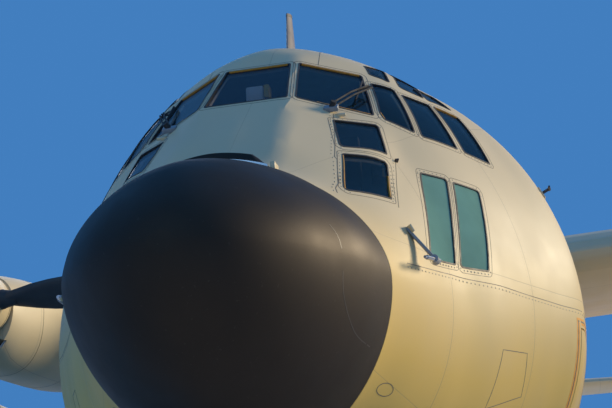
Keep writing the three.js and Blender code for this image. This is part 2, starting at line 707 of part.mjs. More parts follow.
const betweenDoors = box(RAMP.end, CARGO_DOOR.from, -CARGO_DOOR.half - RUN, CARGO_DOOR.half + RUN, 1.0, 2.1);
const belowHinge = box(RAMP.hingeS - RUN, RAMP.hingeS + 0.3, -RAMP.half - RUN, RAMP.half + RUN, 0.2, RAMP.hingeZ);
rear = rearShell
  .subtract(rampSpace(RUN))
  .subtract(cargoDoorSpace(RUN))
  .subtract(betweenDoors)
  .subtract(belowHinge);
for (const side of [1, -1]) {
  // The ramp turns on pins through two ears that stand out of the sill
  const onRamp = (y) => [RAMP.hingeS, side * y, RAMP.hingeZ];
  const [inner, outer] = RAMP.earY;
  rear = rear
    .add(bar(onRamp(inner), onRamp(outer), RAMP.ear, 12))
    .add(
      box(
        REAR_JOINT + 0.03,
        RAMP.hingeS,
        Math.min(side * inner, side * outer),
        Math.max(side * inner, side * outer),
        RAMP.hingeZ - RAMP.ear,
        RAMP.hingeZ + RAMP.ear,
      ),
    )
    .add(bar(onRamp(inner - 0.08), onRamp(outer + 0.08), PIN_RADIUS, PIN_SIDES));
  ramp = ramp
    .subtract(bar(onRamp(inner - RUN), onRamp(outer + RUN), RAMP.nose + 0.002, 16))
    .subtract(hole(onRamp(inner - 0.08 - PIN_GAP), onRamp(outer + 0.08 + PIN_GAP), PIN_RADIUS, PIN_SIDES));
  // The cargo door turns on pins in the walls beside it
  const onDoor = (y) => [CARGO_DOOR.hingeS, side * y, CARGO_DOOR.hingeZ];
  const half = CARGO_DOOR.half;
  rear = rear.add(bar(onDoor(half - 0.06), onDoor(half + 0.09), PIN_RADIUS, PIN_SIDES));
  cargoDoor = cargoDoor.subtract(hole(onDoor(half - 0.06 - PIN_GAP), onDoor(half + 0.09), PIN_RADIUS, PIN_SIDES));
}
put('rear_section', rear, 'paint');
put('ramp', ramp, 'floor');
put('cargo_door', cargoDoor, 'paint');

// Side doors for parachutists, shut
const SIDE_DOOR = { from: 15.78, to: 16.69, sill: 1.05, top: 2.88 };
const sideDoorSpace = (gap) =>
  box(SIDE_DOOR.from - gap, SIDE_DOOR.to + gap, 1.3, 2.4, SIDE_DOOR.sill - gap, SIDE_DOOR.top + gap);
putPair('side_door', cabin.intersect(sideDoorSpace(0)), 'paint');
cabin = cabin.subtract(sideDoorSpace(SEAM)).subtract(mirrored(sideDoorSpace(SEAM)));

// Radome: a shell hinged at its top, with the dish behind it
const radomeStations = [0, 0.01, 0.038, 0.115, 0.256, 0.486, 0.794, 1.05, RADOME_JOINT - SEAM];
let radome = fuselage(radomeStations);
const radomeHollow = fuselage([0.1, 0.2, 0.43, 0.794, RADOME_JOINT], 0.06);
radome = radome.subtract(radomeHollow);

// The radome's two hinges stand on its top edge
const RADOME_HINGE = { s: 1.02, z: 2.945, y: 0.2, half: 0.05, radius: 0.028, pin: 0.012 };
for (const side of [1, -1]) {
  const on = (y) => [RADOME_HINGE.s, side * (RADOME_HINGE.y + y), RADOME_HINGE.z];
  const lug = bar(on(-RADOME_HINGE.half), on(RADOME_HINGE.half), RADOME_HINGE.radius, 12).add(
    box(
      RADOME_HINGE.s - 0.03,
      RADOME_HINGE.s + 0.012,
      side > 0 ? RADOME_HINGE.y - RADOME_HINGE.half : -RADOME_HINGE.y - RADOME_HINGE.half,
      side > 0 ? RADOME_HINGE.y + RADOME_HINGE.half : -RADOME_HINGE.y + RADOME_HINGE.half,
      2.84,
      RADOME_HINGE.z,
    ),
  );
  radome = radome.add(lug).subtract(hole(on(-0.1), on(0.1), RADOME_HINGE.pin, PIN_SIDES));
  const ear = (from, to) =>
    box(
      RADOME_HINGE.s - 0.03,
      RADOME_HINGE.s + 0.2,
      Math.min(on(from)[1], on(to)[1]),
      Math.max(on(from)[1], on(to)[1]),
      RADOME_HINGE.z - 0.03,
      RADOME_HINGE.z + 0.022,
    );
  nose = nose
    .add(ear(RADOME_HINGE.half + RUN, RADOME_HINGE.half + RUN + 0.04))
    .add(ear(-RADOME_HINGE.half - RUN - 0.04, -RADOME_HINGE.half - RUN))
    .add(bar(on(-RADOME_HINGE.half - RUN - 0.02), on(RADOME_HINGE.half + RUN + 0.02), RADOME_HINGE.pin, PIN_SIDES));
}
put('radome', radome, 'radome');
put('nose_section', nose, 'paint');
const dish = turned(
  [[0, 0], [0.1, 0.01], [0.26, 0.07], [0.4, 0.17], [0.4, 0.2], [0.25, 0.1], [0.1, 0.05], [0, 0.05]],
  [0.98, 0, 1.95],
  [1, 0, 0],
  18,
);
const dishBack = RADOME_JOINT + RADOME_LEAN * (2.04 - LEAN_Z) - SEAM; // the bulkhead leans
put('radar_dish', dish.add(bar([0.95, 0, 1.95], [dishBack, 0, 1.95], 0.09, 12)), 'metal');

// Tail

const halfStabilizer = loft(
  [-0.05, 0, STAB_HALF_SPAN - 0.12, STAB_HALF_SPAN].map((y) => {
    const ring = sectionRing(stabPlan, y, flat);
    if (y < STAB_HALF_SPAN) return ring;
    return ring.map((p) => [p[0] * 0.94 + 0.06 * (NOSE_X - STAB_TIP_LE - 0.8), p[1], STAB_Z + (p[2] - STAB_Z) * 0.3]);
  }),
);
const elevatorParted = partSurface(halfStabilizer, stabPlan, ELEVATOR_HINGE, ...ELEVATOR, flat);
const stabilizer = elevatorParted.rest.add(mirrored(elevatorParted.rest));
put('stabilizer', stabilizer, 'tail');
putPair('elevator', elevatorParted.surface, 'tail');

const tailBed = swell(halfStabilizer.add(mirrored(halfStabilizer)).intersect(box(24, 29, -1.5, 1.5, 4, 5.2)), SEAM, 'xz');
let fin = loft(
  [FIN_ROOT_Z, FIN_TOP - 0.15, FIN_TOP].map((z) => {
    const ring = sectionRing(finPlan, z, upright);
    if (z < FIN_TOP) return ring;
    return ring.map((p) => [p[0] * 0.94 + 0.06 * (NOSE_X - 28.6), p[1] * 0.35, p[2]]);
  }),
);
const dorsal = loft([
  [[22.0, 0.02, 4.4], [22.0, -0.02, 4.4], [22.0, -0.02, 4.56], [22.0, 0.02, 4.56]],
  [[25.6, 0.2, 4.4], [25.6, -0.2, 4.4], [25.6, -0.12, 6.0], [25.6, 0.12, 6.0]],
].map((ring) => ring.map(([s, y, z]) => [NOSE_X - s, y, z])));
fin = fin.add(dorsal);
const RUDDER_END_GAP = 0.045; // its hinge line slopes, so its foot dips as it turns
const rudderParted = partSurface(fin, finPlan, RUDDER_HINGE, ...RUDDER, upright, RUDDER_END_GAP);
const tailCone = largest(fuselage(TAIL_STATIONS).subtract(tailBed));
const tailTop = fuselage([21.4, 22.4, ...TAIL_STATIONS]).intersect(box(21.5, 28.75, -0.7, 0.7, 3.8, 4.8));
fin = largest(rudderParted.rest.subtract(tailBed).subtract(swell(tailTop, SEAM, 'z')));
put('tail_cone', tailCone, 'tail');
put('fin', fin, 'tail');
put('rudder', rudderParted.surface, 'tail');

// Nacelles and propellers, each at its own height on the wing

// station, half width, top and bottom about the shaft, roundness
const NACELLE = [
  [8.32, 0.42, 0.41, -0.6, 2.2],
  [8.6, 0.5, 0.46, -0.76, 2.3],
  [9.3, 0.59, 0.52, -0.8, 2.4],
  [10.4, 0.62, 0.54, -0.78, 2.4],
  [11.6, 0.58, 0.46, -0.66, 2.3],
  [12.8, 0.46, 0.36, -0.46, 2.2],
  [13.7, 0.3, 0.24, -0.24, 2.0],
];
const NACELLE_POINTS = 16;
const SHAFT_RADIUS = 0.16;
const SHAFT_REACH = 0.12;
const PROP_BACK = 8.3;

function engineAt(y) {
  return { y, z: WING_Z + y * DIHEDRAL - ENGINE_DROP };
}

function nacelle({ y, z }) {
  const rings = NACELLE.map(([s, half, top, bottom, power]) => {
    const ring = [];
    for (let i = 0; i < NACELLE_POINTS; i++) {
      const angle = (2 * Math.PI * i) / NACELLE_POINTS;
      const c = Math.cos(angle);
      const d = Math.sin(angle);
      const across = Math.sign(c) * Math.abs(c) ** (2 / power) * half;
      const up = Math.sign(d) * Math.abs(d) ** (2 / power) * (d > 0 ? top : -bottom);
      ring.push([NOSE_X - s, y + across, z + up]);
    }
    return ring;
  });
  const intake = loft(
    [[8.2, 1.0], [8.62, 0.85]].map(([s, size]) =>
      [[0.28, -0.49], [0.16, -0.56], [-0.16, -0.56], [-0.28, -0.49], [-0.2, -0.43], [0.2, -0.43]].map(([across, up]) =>
        [NOSE_X - s, y + across * size, z - 0.49 + (up + 0.49) * size],
      ),
    ),
  );
  const shaft = bar([8.4, y, z], [PROP_BACK - SHAFT_REACH, y, z], SHAFT_RADIUS, 10);
  const pipe = bar([12.7, y, z + 0.05], [13.9, y, z - 0.02], 0.25, 14, 0.22);
  const bore = bar([13.5, y, z], [14.1, y, z - 0.03], 0.19, 14);
  return loft(rings).subtract(intake).add(shaft).add(pipe).subtract(bore);
}

// radius, chord, thickness, pitch in degrees from the propeller's plane
const BLADE = [
  [0.26, 0.2, 0.19, 62],
  [0.6, 0.27, 0.13, 52],
  [1.05, 0.41, 0.08, 38],
  [1.6, 0.45, 0.05, 28],
  [PROP_RADIUS, 0.4, 0.03, 22],
];

function propeller({ y, z }) {
  const spinner = turned(
    [[0, 0], [SPINNER_RADIUS, 0], [SPINNER_RADIUS, 0.36], [0.35, 0.58], [0.22, 0.76], [0, 0.86]],
    [PROP_BACK, y, z],
    [1, 0, 0],
    16,
  );
  const socket = hole([8.4, y, z], [PROP_BACK - SHAFT_REACH - PIN_GAP, y, z], SHAFT_RADIUS, 10);
  let body = spinner;
  for (let blade = 0; blade < BLADES; blade++) {
    const turn = (2 * Math.PI * blade) / BLADES;
    const rings = BLADE.map(([radius, chord, thickness, pitch]) => {
      const p = THREE.MathUtils.degToRad(pitch);
      return [[0.5, 0], [0.2, 0.5], [-0.3, 0.4], [-0.5, 0], [-0.3, -0.15], [0.2, -0.2]].map(([along, out]) => {
        const across = along * chord * Math.cos(p) - out * thickness * Math.sin(p);
        const ahead = along * chord * Math.sin(p) + out * thickness * Math.cos(p);
        return [
          NOSE_X - PROP_STATION + ahead,
          y + radius * Math.cos(turn) - across * Math.sin(turn),
          z + radius * Math.sin(turn) + across * Math.cos(turn),
        ];
      });
    });
    body = body.add(loft(rings));
  }
  return body.subtract(socket);
}

const wingBedAll = swell(centreWing.intersect(box(9, 16, 0, KINK_Y, 3, 6)), SEAM, 'xz').add(swell(outerWing, SEAM, 'xz'));
ENGINE_Y.forEach((y, i) => {
  const engine = engineAt(y);
  const body = largest(nacelle(engine).subtract(wingBedAll));
  putPair(['nacelle_inner', 'nacelle_outer'][i], body, 'paint');
  putPair(['propeller_inner', 'propeller_outer'][i], propeller(engine), 'blade');
});

// External tanks on pylons

const TANK = { y: 7.62, z: 3.1, radius: 0.55, from: 8.7, to: 16.4 };
const tankBody = turned(
  [[0, 0], [0.12, 0.06], [0.32, 0.35], [0.48, 0.9], [0.55, 1.7], [0.55, 5.2], [0.46, 6.3], [0.28, 7.2], [0.1, 7.65], [0, 7.7]],
  [TANK.from, TANK.y, TANK.z],
  [-1, 0, 0],
  20,
);
const pylon = loft([
  [3.3, 10.3, 13.5],
  [4.5, 10.6, 13.4],
].map(([z, from, to]) =>
  [[from, 0], [from + 0.5, 0.1], [to - 1.2, 0.1], [to, 0.015], [to, -0.015], [to - 1.2, -0.1], [from + 0.5, -0.1]].map(
    ([s, side]) => [NOSE_X - s, TANK.y + side, z],
  ),
));
putPair('fuel_tank', tankBody.add(largest(pylon.subtract(wingBedAll))), 'paint');

// Main gear: fairings on the cabin's sides, legs and wheels

// station, outer half width, height of the middle, half height
const SPONSON = [
  [9.1, 0.3, 1.3, 0.2],
  [9.5, 0.55, 1.28, 0.48],
  [10.2, 0.78, 1.25, 0.7],
  [11.2, 0.87, 1.23, 0.78],
  [13.8, 0.87, 1.23, 0.78],
  [14.6, 0.72, 1.28, 0.64],
  [15.3, 0.42, 1.38, 0.34],
  [15.65, 0.22, 1.42, 0.12],
];
const SPONSON_Y = 1.78;
const sponsonRings = SPONSON.map(([s, half, middle, height]) => {
  const ring = [];
  for (let i = 0; i < 20; i++) {
    const angle = (2 * Math.PI * i) / 20;
    const c = Math.cos(angle);
    const d = Math.sin(angle);
    ring.push([
      NOSE_X - s,
      SPONSON_Y + Math.sign(c) * Math.abs(c) ** 0.8 * half,
      middle + Math.sign(d) * Math.abs(d) ** 0.72 * height,
    ]);
  }
  return ring;
});
const wellBox = box(MAIN_WELL.from, MAIN_WELL.to, MAIN_WELL.inner, MAIN_WELL.outer, 0, MAIN_WELL.top);
cabin = cabin.subtract(wellBox).subtract(mirrored(wellBox));
const sponson = loft(sponsonRings)
  .subtract(swell(fuselage(CABIN_STATIONS), SEAM))
  .subtract(wellBox);
putPair('gear_fairing', sponson, 'paint');
put('cabin_section', cabin, 'paint');

const STRUT_Y = 1.8;
const AXLE_RADIUS = 0.07;
let mainLeg = box(MAIN_GEAR[0] - 0.16, MAIN_GEAR[1] + 0.16, 1.68, 1.88, 1.45, MAIN_WELL.top - SEAM);
for (const s of MAIN_GEAR) {
  mainLeg = mainLeg
    .add(bar([s, STRUT_Y, 0.62], [s, STRUT_Y, 1.5], 0.09, 12))
    .add(bar([s, STRUT_Y, MAIN_WHEEL_RADIUS], [s, MAIN_WHEEL_Y + 0.2, MAIN_WHEEL_RADIUS], AXLE_RADIUS, 10));
}
mainLeg = mainLeg.add(bar([MAIN_GEAR[0], STRUT_Y, 0.8], [MAIN_GEAR[1] - 0.5, STRUT_Y, 1.5], 0.045, 8));
mainLeg = mainLeg.add(bar([MAIN_GEAR[1], STRUT_Y, 0.8], [MAIN_GEAR[0] + 0.5, STRUT_Y, 1.5], 0.045, 8));
putPair('main_gear_leg', mainLeg, 'metal');

// A tyre and its rim, about an axle along Y. offset is the distance across.
function wheel(centre, radius, width, axle, sides) {
  const half = width / 2;
  const profile = [
    [0, -half * 0.72],
    [radius * 0.48, -half * 0.72],
    [radius * 0.54, -half * 0.9],
    [radius * 0.84, -half],
    [radius * 0.97, -half * 0.66],
    [radius, 0],
    [radius * 0.97, half * 0.66],
    [radius * 0.84, half],
    [radius * 0.54, half * 0.9],
    [radius * 0.48, half * 0.72],
    [0, half * 0.72],
  ];
  const [s, y, z] = centre;
  const grow = 1 / Math.cos(Math.PI / sides); // the flats between the corners lie at the radius
  const geometry = new THREE.LatheGeometry(profile.map(([r, d]) => new THREE.Vector2(r * grow, d)), sides);
  geometry.rotateY(Math.PI / sides);
  const middle = point(s, y, z);
  geometry.translate(middle.x, middle.y, middle.z);
  const body = solid(geometry);
  if (!axle) return body;
  return body.subtract(hole([s, y - 1, z], [s, y + 0.2 + PIN_GAP, z], axle, 10));
}

MAIN_GEAR.forEach((s, i) => {
  const centre = [s, MAIN_WHEEL_Y, MAIN_WHEEL_RADIUS];
  putPair(
    ['main_wheel_front', 'main_wheel_rear'][i],
    wheel(centre, MAIN_WHEEL_RADIUS, MAIN_WHEEL_WIDTH, AXLE_RADIUS, 20),
    'rubber',
  );
});

// Nose gear: fixed leg, steered fork and twin wheels on one axle

const NOSE_LEG_RADIUS = 0.1;
const FORK_TOP = 1.12;
const noseLeg = bar([NOSE_GEAR, 0, FORK_TOP + RUN], [NOSE_GEAR, 0, NOSE_WELL.top - SEAM], NOSE_LEG_RADIUS, 16)
  .add(bar([NOSE_GEAR, 0, 1.3], [NOSE_WELL.to - 0.07, 0, 1.6], 0.05, 10))
  .add(box(NOSE_WELL.to - 0.12, NOSE_WELL.to - SEAM, -0.15, 0.15, 1.5, NOSE_WELL.top - SEAM))
  .add(bar([NOSE_GEAR, 0, FORK_TOP + 0.2], [NOSE_GEAR, 0, FORK_TOP - 0.15], 0.055, 12));
put('nose_gear_leg', noseLeg, 'metal');
const forkPinHole = hole([NOSE_GEAR, 0, FORK_TOP + 0.2], [NOSE_GEAR, 0, FORK_TOP - 0.15 - PIN_GAP], 0.055, 12);
const noseFork = bar([NOSE_GEAR, 0, NOSE_WHEEL_RADIUS - 0.09], [NOSE_GEAR, 0, FORK_TOP], 0.085, 16)
  .add(box(NOSE_GEAR - 0.13, NOSE_GEAR + 0.13, -0.07, 0.07, NOSE_WHEEL_RADIUS - 0.12, NOSE_WHEEL_RADIUS + 0.12))
  .subtract(forkPinHole)
  .subtract(hole([NOSE_GEAR, -0.2, NOSE_WHEEL_RADIUS], [NOSE_GEAR, 0.2, NOSE_WHEEL_RADIUS], 0.05, 14));
put('nose_gear_fork', noseFork, 'metal');
const noseWheel = wheel([NOSE_GEAR, NOSE_WHEEL_Y, NOSE_WHEEL_RADIUS], NOSE_WHEEL_RADIUS, NOSE_WHEEL_WIDTH, 0, 18);
put(
  'nose_wheels',
  noseWheel
    .add(mirrored(noseWheel))
    .add(bar([NOSE_GEAR, -0.2, NOSE_WHEEL_RADIUS], [NOSE_GEAR, 0.2, NOSE_WHEEL_RADIUS], 0.05, 14)),
  'rubber',
);

// The object, as named meshes under one scaled group
const plane = new THREE.Group();
plane.scale.setScalar(MODEL_MM_PER_METRE);
for (const [name, { body, finish }] of pieces) {
  const [color, roughness, metalness] = FINISHES[finish];
  const material = new THREE.MeshStandardMaterial({ color, roughness, metalness, name: finish });
  const mesh = new THREE.Mesh(geometryOf(body), material);
  mesh.name = name;
  plane.add(mesh);
}

export default plane;
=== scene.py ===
# A four-engined military transport aeroplane at half size, parked on its gear.
# Lengths in the tables are metres on the real aeroplane: station aft of the nose's tip, port, up.
import json
import math

import bmesh
import bpy
from mathutils import Matrix, Vector
from mathutils.bvhtree import BVHTree

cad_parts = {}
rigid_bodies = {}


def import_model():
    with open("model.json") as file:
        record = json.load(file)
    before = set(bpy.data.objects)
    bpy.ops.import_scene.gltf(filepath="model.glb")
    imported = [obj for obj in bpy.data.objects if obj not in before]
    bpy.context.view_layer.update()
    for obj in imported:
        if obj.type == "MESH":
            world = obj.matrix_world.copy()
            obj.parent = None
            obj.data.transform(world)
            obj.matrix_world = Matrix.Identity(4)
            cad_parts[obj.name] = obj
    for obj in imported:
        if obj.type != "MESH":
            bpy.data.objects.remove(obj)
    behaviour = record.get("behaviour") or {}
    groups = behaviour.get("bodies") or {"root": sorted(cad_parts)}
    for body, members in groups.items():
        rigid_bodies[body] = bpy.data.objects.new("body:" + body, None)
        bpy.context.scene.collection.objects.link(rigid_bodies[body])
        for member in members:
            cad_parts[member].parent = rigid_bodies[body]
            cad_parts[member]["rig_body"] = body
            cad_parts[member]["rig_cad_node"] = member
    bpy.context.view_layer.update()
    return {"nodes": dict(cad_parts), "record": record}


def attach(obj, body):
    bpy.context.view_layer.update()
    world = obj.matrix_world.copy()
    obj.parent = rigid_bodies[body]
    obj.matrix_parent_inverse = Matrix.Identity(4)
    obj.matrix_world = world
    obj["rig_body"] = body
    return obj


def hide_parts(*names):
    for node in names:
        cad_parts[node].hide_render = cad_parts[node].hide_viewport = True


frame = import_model()
NODES = frame["nodes"]

# Sizes
HALF = 0.5  # the model is at 1:2
NOSE_X = 29.79 / 2  # from the frame's origin forward to the nose's tip
RADOME_JOINT = 1.28  # station of the joint behind the radome
RADOME_LEAN = -0.32  # the joint's plane leans by this much of the height over LEAN_Z
LEAN_Z = 2.143
LEAN_END = 2.25  # station where the hull's sections stand upright again
CABIN_JOINT = 4.9
CABIN_END = 16.8
TAIL_JOINT = 23.35
HULL_MIDDLE = 2.4  # height of the fuselage's middle line
SKIN = 0.05  # thickness of the nose's visible skin
HOLD_SKIN = 0.06  # and of the cabin's and rear's
SKIN_LIFT = 0.004  # the visible skin stands this much over the corners of the flat-sided one
RING_POINTS = 144
SIDES = ((1, "left"), (-1, "right"))

# station, half width, height of the widest point, top, bottom, roundness of the top and of the bottom
HULL = [
    (0.000, 0.057, 2.126, 2.171, 2.066, 1.8, 1.8),
    (0.010, 0.102, 2.126, 2.206, 2.019, 1.8, 1.8),
    (0.038, 0.197, 2.127, 2.281, 1.920, 1.8, 1.8),
    (0.115, 0.340, 2.128, 2.394, 1.772, 1.8, 1.8),
    (0.256, 0.500, 2.129, 2.522, 1.606, 1.8, 1.8),
    (0.486, 0.675, 2.132, 2.662, 1.427, 1.8, 1.8),
    (0.794, 0.832, 2.137, 2.762, 1.267, 1.8, 1.8),
    (1.050, 0.921, 2.140, 2.818, 1.177, 1.8, 1.8),
    (1.280, 0.966, 2.143, 2.846, 1.133, 1.8, 1.8),
    (1.8, 1.138, 2.163, 3.296, 0.973, 1.75, 1.95),
    (2.25, 1.31, 2.195, 3.911, 0.855, 1.72, 2.1),
    (2.65, 1.53, 2.244, 4.27, 0.72, 1.76, 2.1),
    (3.05, 1.72, 2.297, 4.47, 0.606, 1.8, 2.06),
    (3.5, 1.94, 2.346, 4.59, 0.526, 1.86, 2.06),
    (3.95, 2.14, 2.401, 4.6, 0.471, 1.96, 2.1),
    (4.9, 2.18, 2.439, 4.604, 0.454, 2.0, 2.1),
    (16.8, 2.18, 2.439, 4.604, 0.454, 2.0, 2.12),
    (18.4, 2.1, 2.62, 4.55, 0.86, 2.0, 2.7),
    (20.4, 1.98, 2.98, 4.56, 1.62, 2.05, 3.0),
    (22.4, 1.72, 3.38, 4.57, 2.32, 2.1, 3.0),
    (24.4, 1.34, 3.74, 4.58, 2.95, 2.1, 2.8),
    (26.6, 0.82, 4.05, 4.6, 3.52, 2.1, 2.4),
    (28.7, 0.16, 4.3, 4.56, 4.05, 2.0, 2.0),
]

# The flight deck's windows: corners on the skin. All but the first are mirrored to starboard.
WINDOWS = {
    "windshield_middle": [
        (2.46, -0.235, 4.06), (2.46, 0.235, 4.06), (1.99, 0.287, 3.588), (1.99, -0.287, 3.588),
    ],
    "windshield_side": [
        (2.485, 0.298, 4.064), (2.831, 0.7, 4.054), (2.368, 0.816, 3.547), (2.021, 0.331, 3.591),
    ],
    "eyebrow_front": [(2.93, 0.75, 4.09), (2.995, 0.885, 4.035), (3.24, 0.79, 4.24), (3.04, 0.7, 4.215)],
    "eyebrow_middle": [(3.056, 0.956, 4.005), (3.245, 1.11, 3.975), (3.55, 1.02, 4.2), (3.33, 0.84, 4.246)],
    "eyebrow_rear": [(3.284, 1.143, 3.96), (3.603, 1.298, 3.976), (3.64, 1.15, 4.13), (3.35, 1.04, 4.1)],
    "side_front": [
        (2.78, 0.78, 3.968), (2.889, 0.917, 3.927), (2.572, 1.07, 3.449), (2.417, 0.886, 3.52),
        (2.447, 0.859, 3.591),
    ],
    "side_middle": [
        (2.907, 0.979, 3.885), (3.182, 1.146, 3.883), (2.96, 1.339, 3.422), (2.614, 1.118, 3.431),
    ],
    "side_rear": [(3.242, 1.179, 3.885), (3.524, 1.342, 3.876), (3.312, 1.557, 3.393), (3.034, 1.385, 3.418)],
    "lower_upper": [(2.0, 0.588, 3.399), (2.29, 0.84, 3.424), (2.083, 0.902, 3.134), (1.76, 0.65, 3.116)],
    "lower_lower": [(1.69, 0.669, 3.033), (1.996, 0.907, 3.045), (1.767, 0.95, 2.738), (1.376, 0.73, 2.722)],
    "tall_front": [
        (2.332, 1.106, 3.071), (2.544, 1.259, 3.071), (2.235, 1.279, 2.389), (1.895, 1.151, 2.363),
    ],
    "tall_rear": [(2.598, 1.303, 3.058), (2.866, 1.466, 3.058), (2.591, 1.475, 2.403), (2.297, 1.312, 2.386)],
}

# Camera: solved from the photograph, at floor level and looking up
CAMERA_AT = (-5.25, 1.673, 0.569)
CAMERA_HEADING = math.radians(10.2)  # towards starboard from straight aft
CAMERA_PITCH = math.radians(17.19)
CAMERA_ROLL = math.radians(-3.72)
CAMERA_FOCUS = 1173 / 612  # focal length as a part of the image's width


def at(s, y, z):
    """A point of the real aeroplane in the model's frame."""
    return Vector(((NOSE_X - s) * HALF, y * HALF, z * HALF))


DECK_MIDDLE = at(3.3, 0, 2.3)
PORT = Vector((0, 1, 0))
UP = Vector((0, 0, 1))
AHEAD = Vector((1, 0, 0))


def turns(count):
    """Cosine and sine of evenly spaced angles round a full turn."""
    return [(math.cos(a), math.sin(a)) for a in (2 * math.pi * i / count for i in range(count))]


# Nodes of materials


class Shader:
    """A material on Object coordinates, with short calls for its nodes."""

    def __init__(self, name, colour, roughness, metallic=0.0):
        self.material = bpy.data.materials.new(name)
        self.material.use_nodes = True
        self.tree = self.material.node_tree
        self.bsdf = self.tree.nodes["Principled BSDF"]
        self.set("Base Color", colour)
        self.set("Roughness", roughness)
        self.set("Metallic", metallic)
        self.place = self.node("TexCoord", {}).outputs["Object"]
        self.x, self.y, self.z = self.node("SeparateXYZ", {0: self.place}).outputs

    def put(self, value, socket):
        """Gives a socket a number, a colour or another node's output."""
        if isinstance(value, tuple):
            socket.default_value = (*value, 1)
        elif isinstance(value, (int, float)):
            socket.default_value = value
        else:
            self.tree.links.new(value, socket)

    def set(self, name, value):
        """Sets an input of the surface."""
        self.put(value, self.bsdf.inputs[name])

    def node(self, kind, inputs):
        node = self.tree.nodes.new(f"ShaderNode{kind}")
        for name, value in inputs.items():
            self.put(value, node.inputs[name])
        return node

    def math(self, operation, *values):
        node = self.node("Math", dict(enumerate(values)))
        node.operation = operation
        return node.outputs[0]

    def add(self, first, second):
        return self.math("ADD", first, second)

    def times(self, first, second):
        return self.math("MULTIPLY", first, second)

    def fold(self, value, offset, step):
        """Distance to the nearest of the places that lie two steps apart."""
        return self.math("PINGPONG", self.add(value, offset), step)

    def remap(self, value, low, high, to_low, to_high):
        """A value from one range brought into another, and held inside it."""
        names = ("Value", "From Min", "From Max", "To Min", "To Max")
        return self.node("MapRange", dict(zip(names, (value, low, high, to_low, to_high)))).outputs["Result"]

    def near(self, distance, width, edge):
        """1 where the distance is under the width, fading to 0 over the edge."""
        return self.remap(distance, width, width + edge, 1, 0)

    def noise(self, scale, detail=4.0, stretch=None):
        place = self.place
        if stretch:
            mapping = self.node("Mapping", {"Vector": place})
            mapping.inputs["Scale"].default_value = stretch
            place = mapping.outputs["Vector"]
        return self.node("TexNoise", {"Scale": scale, "Detail": detail, "Vector": place}).outputs[0]

    def mix(self, part, first, second):
        """The first colour, with a part of the second."""
        node = self.tree.nodes.new("ShaderNodeMix")
        node.data_type = "RGBA"
        for value, socket in ((part, "Factor"), (first, 6), (second, 7)):
            self.put(value, node.inputs[socket])
        return node.outputs[2]

    def bump(self, height, distance, strength):
        """Adds relief to what the surface has already."""
        node = self.node("Bump", {"Distance": distance, "Strength": strength, "Height": height})
        before = self.bsdf.inputs["Normal"].links
        if before:
            self.tree.links.new(before[0].from_socket, node.inputs["Normal"])
        self.set("Normal", node.outputs["Normal"])


CREAM = (0.66, 0.54, 0.33)
# Golden colour that stands for a painted reflection of the warm ground, mixed in low on the fuselage
GROUND_REFLECTION_GOLD = (0.74, 0.5, 0.13)
CREAM_DARK = (0.47, 0.39, 0.26)
FRAME_STEP = 0.255  # half the distance between the fuselage's cross joints
STRINGER_STEP = 0.42  # half the distance between its joints along
RIB_STEP = 0.34  # the same on the wing
SPAR_STEP = 0.29
LINE = 0.0011
RIVET_STEP = 0.03  # between rivets
RIVET = 0.0022


def panel_marks(shader, across, along, row_gap, row_line):
    """Masks of the joints on two families of lines, and of a rivet row beside each of the first."""
    joint = shader.math("MAXIMUM", shader.near(across, LINE, LINE), shader.near(along, LINE, LINE))
    row = shader.math("ABSOLUTE", shader.math("SUBTRACT", across, row_gap))
    spot = shader.fold(row_line, 20.0, RIVET_STEP / 2)
    distance = shader.math("SQRT", shader.add(shader.times(row, row), shader.times(spot, spot)))
    shader.bump(shader.times(joint, -1.0), 0.0006, 0.5)
    return joint, shader.near(distance, RIVET, 0.001)


def hull_paint():
    """Semi-gloss cream paint with the joints and rivets of the fuselage's panels, and a painted golden reflection of
    the ground low on the nose.
    """
    shader = Shader("cream_hull_paint", CREAM, 0.5)
    shader.set("Specular IOR Level", 0.18)
    shader.set("Coat Weight", 0.1)
    shader.set("Coat Roughness", 0.45)
    around = shader.math("ARCTAN2", shader.y, shader.math("SUBTRACT", shader.z, HULL_MIDDLE * HALF))
    arc = shader.times(around, 1.1)
    to_frame = shader.fold(shader.x, 20.13, FRAME_STEP)
    joint, rivets = panel_marks(shader, to_frame, shader.fold(arc, 20.11, STRINGER_STEP), 0.012, arc)
    patches = shader.remap(shader.noise(1.1, 3.0), 0.35, 0.7, 0, 0.45)
    streaks = shader.remap(shader.noise(3.0, 5.0, (1.0, 1.0, 0.25)), 0.45, 0.8, 0, 0.25)
    # Painted reflection: the golden ground mirrored in the gloss paint, low on the fuselage and strongest on the
    # nose
    low = shader.remap(shader.add(shader.z, shader.times(shader.noise(0.8), 0.3)), 1.0, 1.5, 1.0, 0)
    low = shader.times(low, shader.remap(shader.x, 3.0, 5.0, 0.35, 1.0))
    colour = shader.mix(patches, CREAM, (0.58, 0.48, 0.31))
    colour = shader.mix(low, colour, GROUND_REFLECTION_GOLD)
    colour = shader.mix(streaks, colour, CREAM_DARK)
    colour = shader.mix(shader.times(joint, 0.4), colour, (0.25, 0.21, 0.15))
    colour = shader.mix(shader.times(rivets, 0.16), colour, (0.32, 0.27, 0.2))
    shader.set("Base Color", colour)
    shader.set("Roughness", shader.remap(shader.noise(5.0), 0.3, 0.7, 0.46, 0.58))
    shader.bump(rivets, 0.0003, 0.5)
    return shader.material


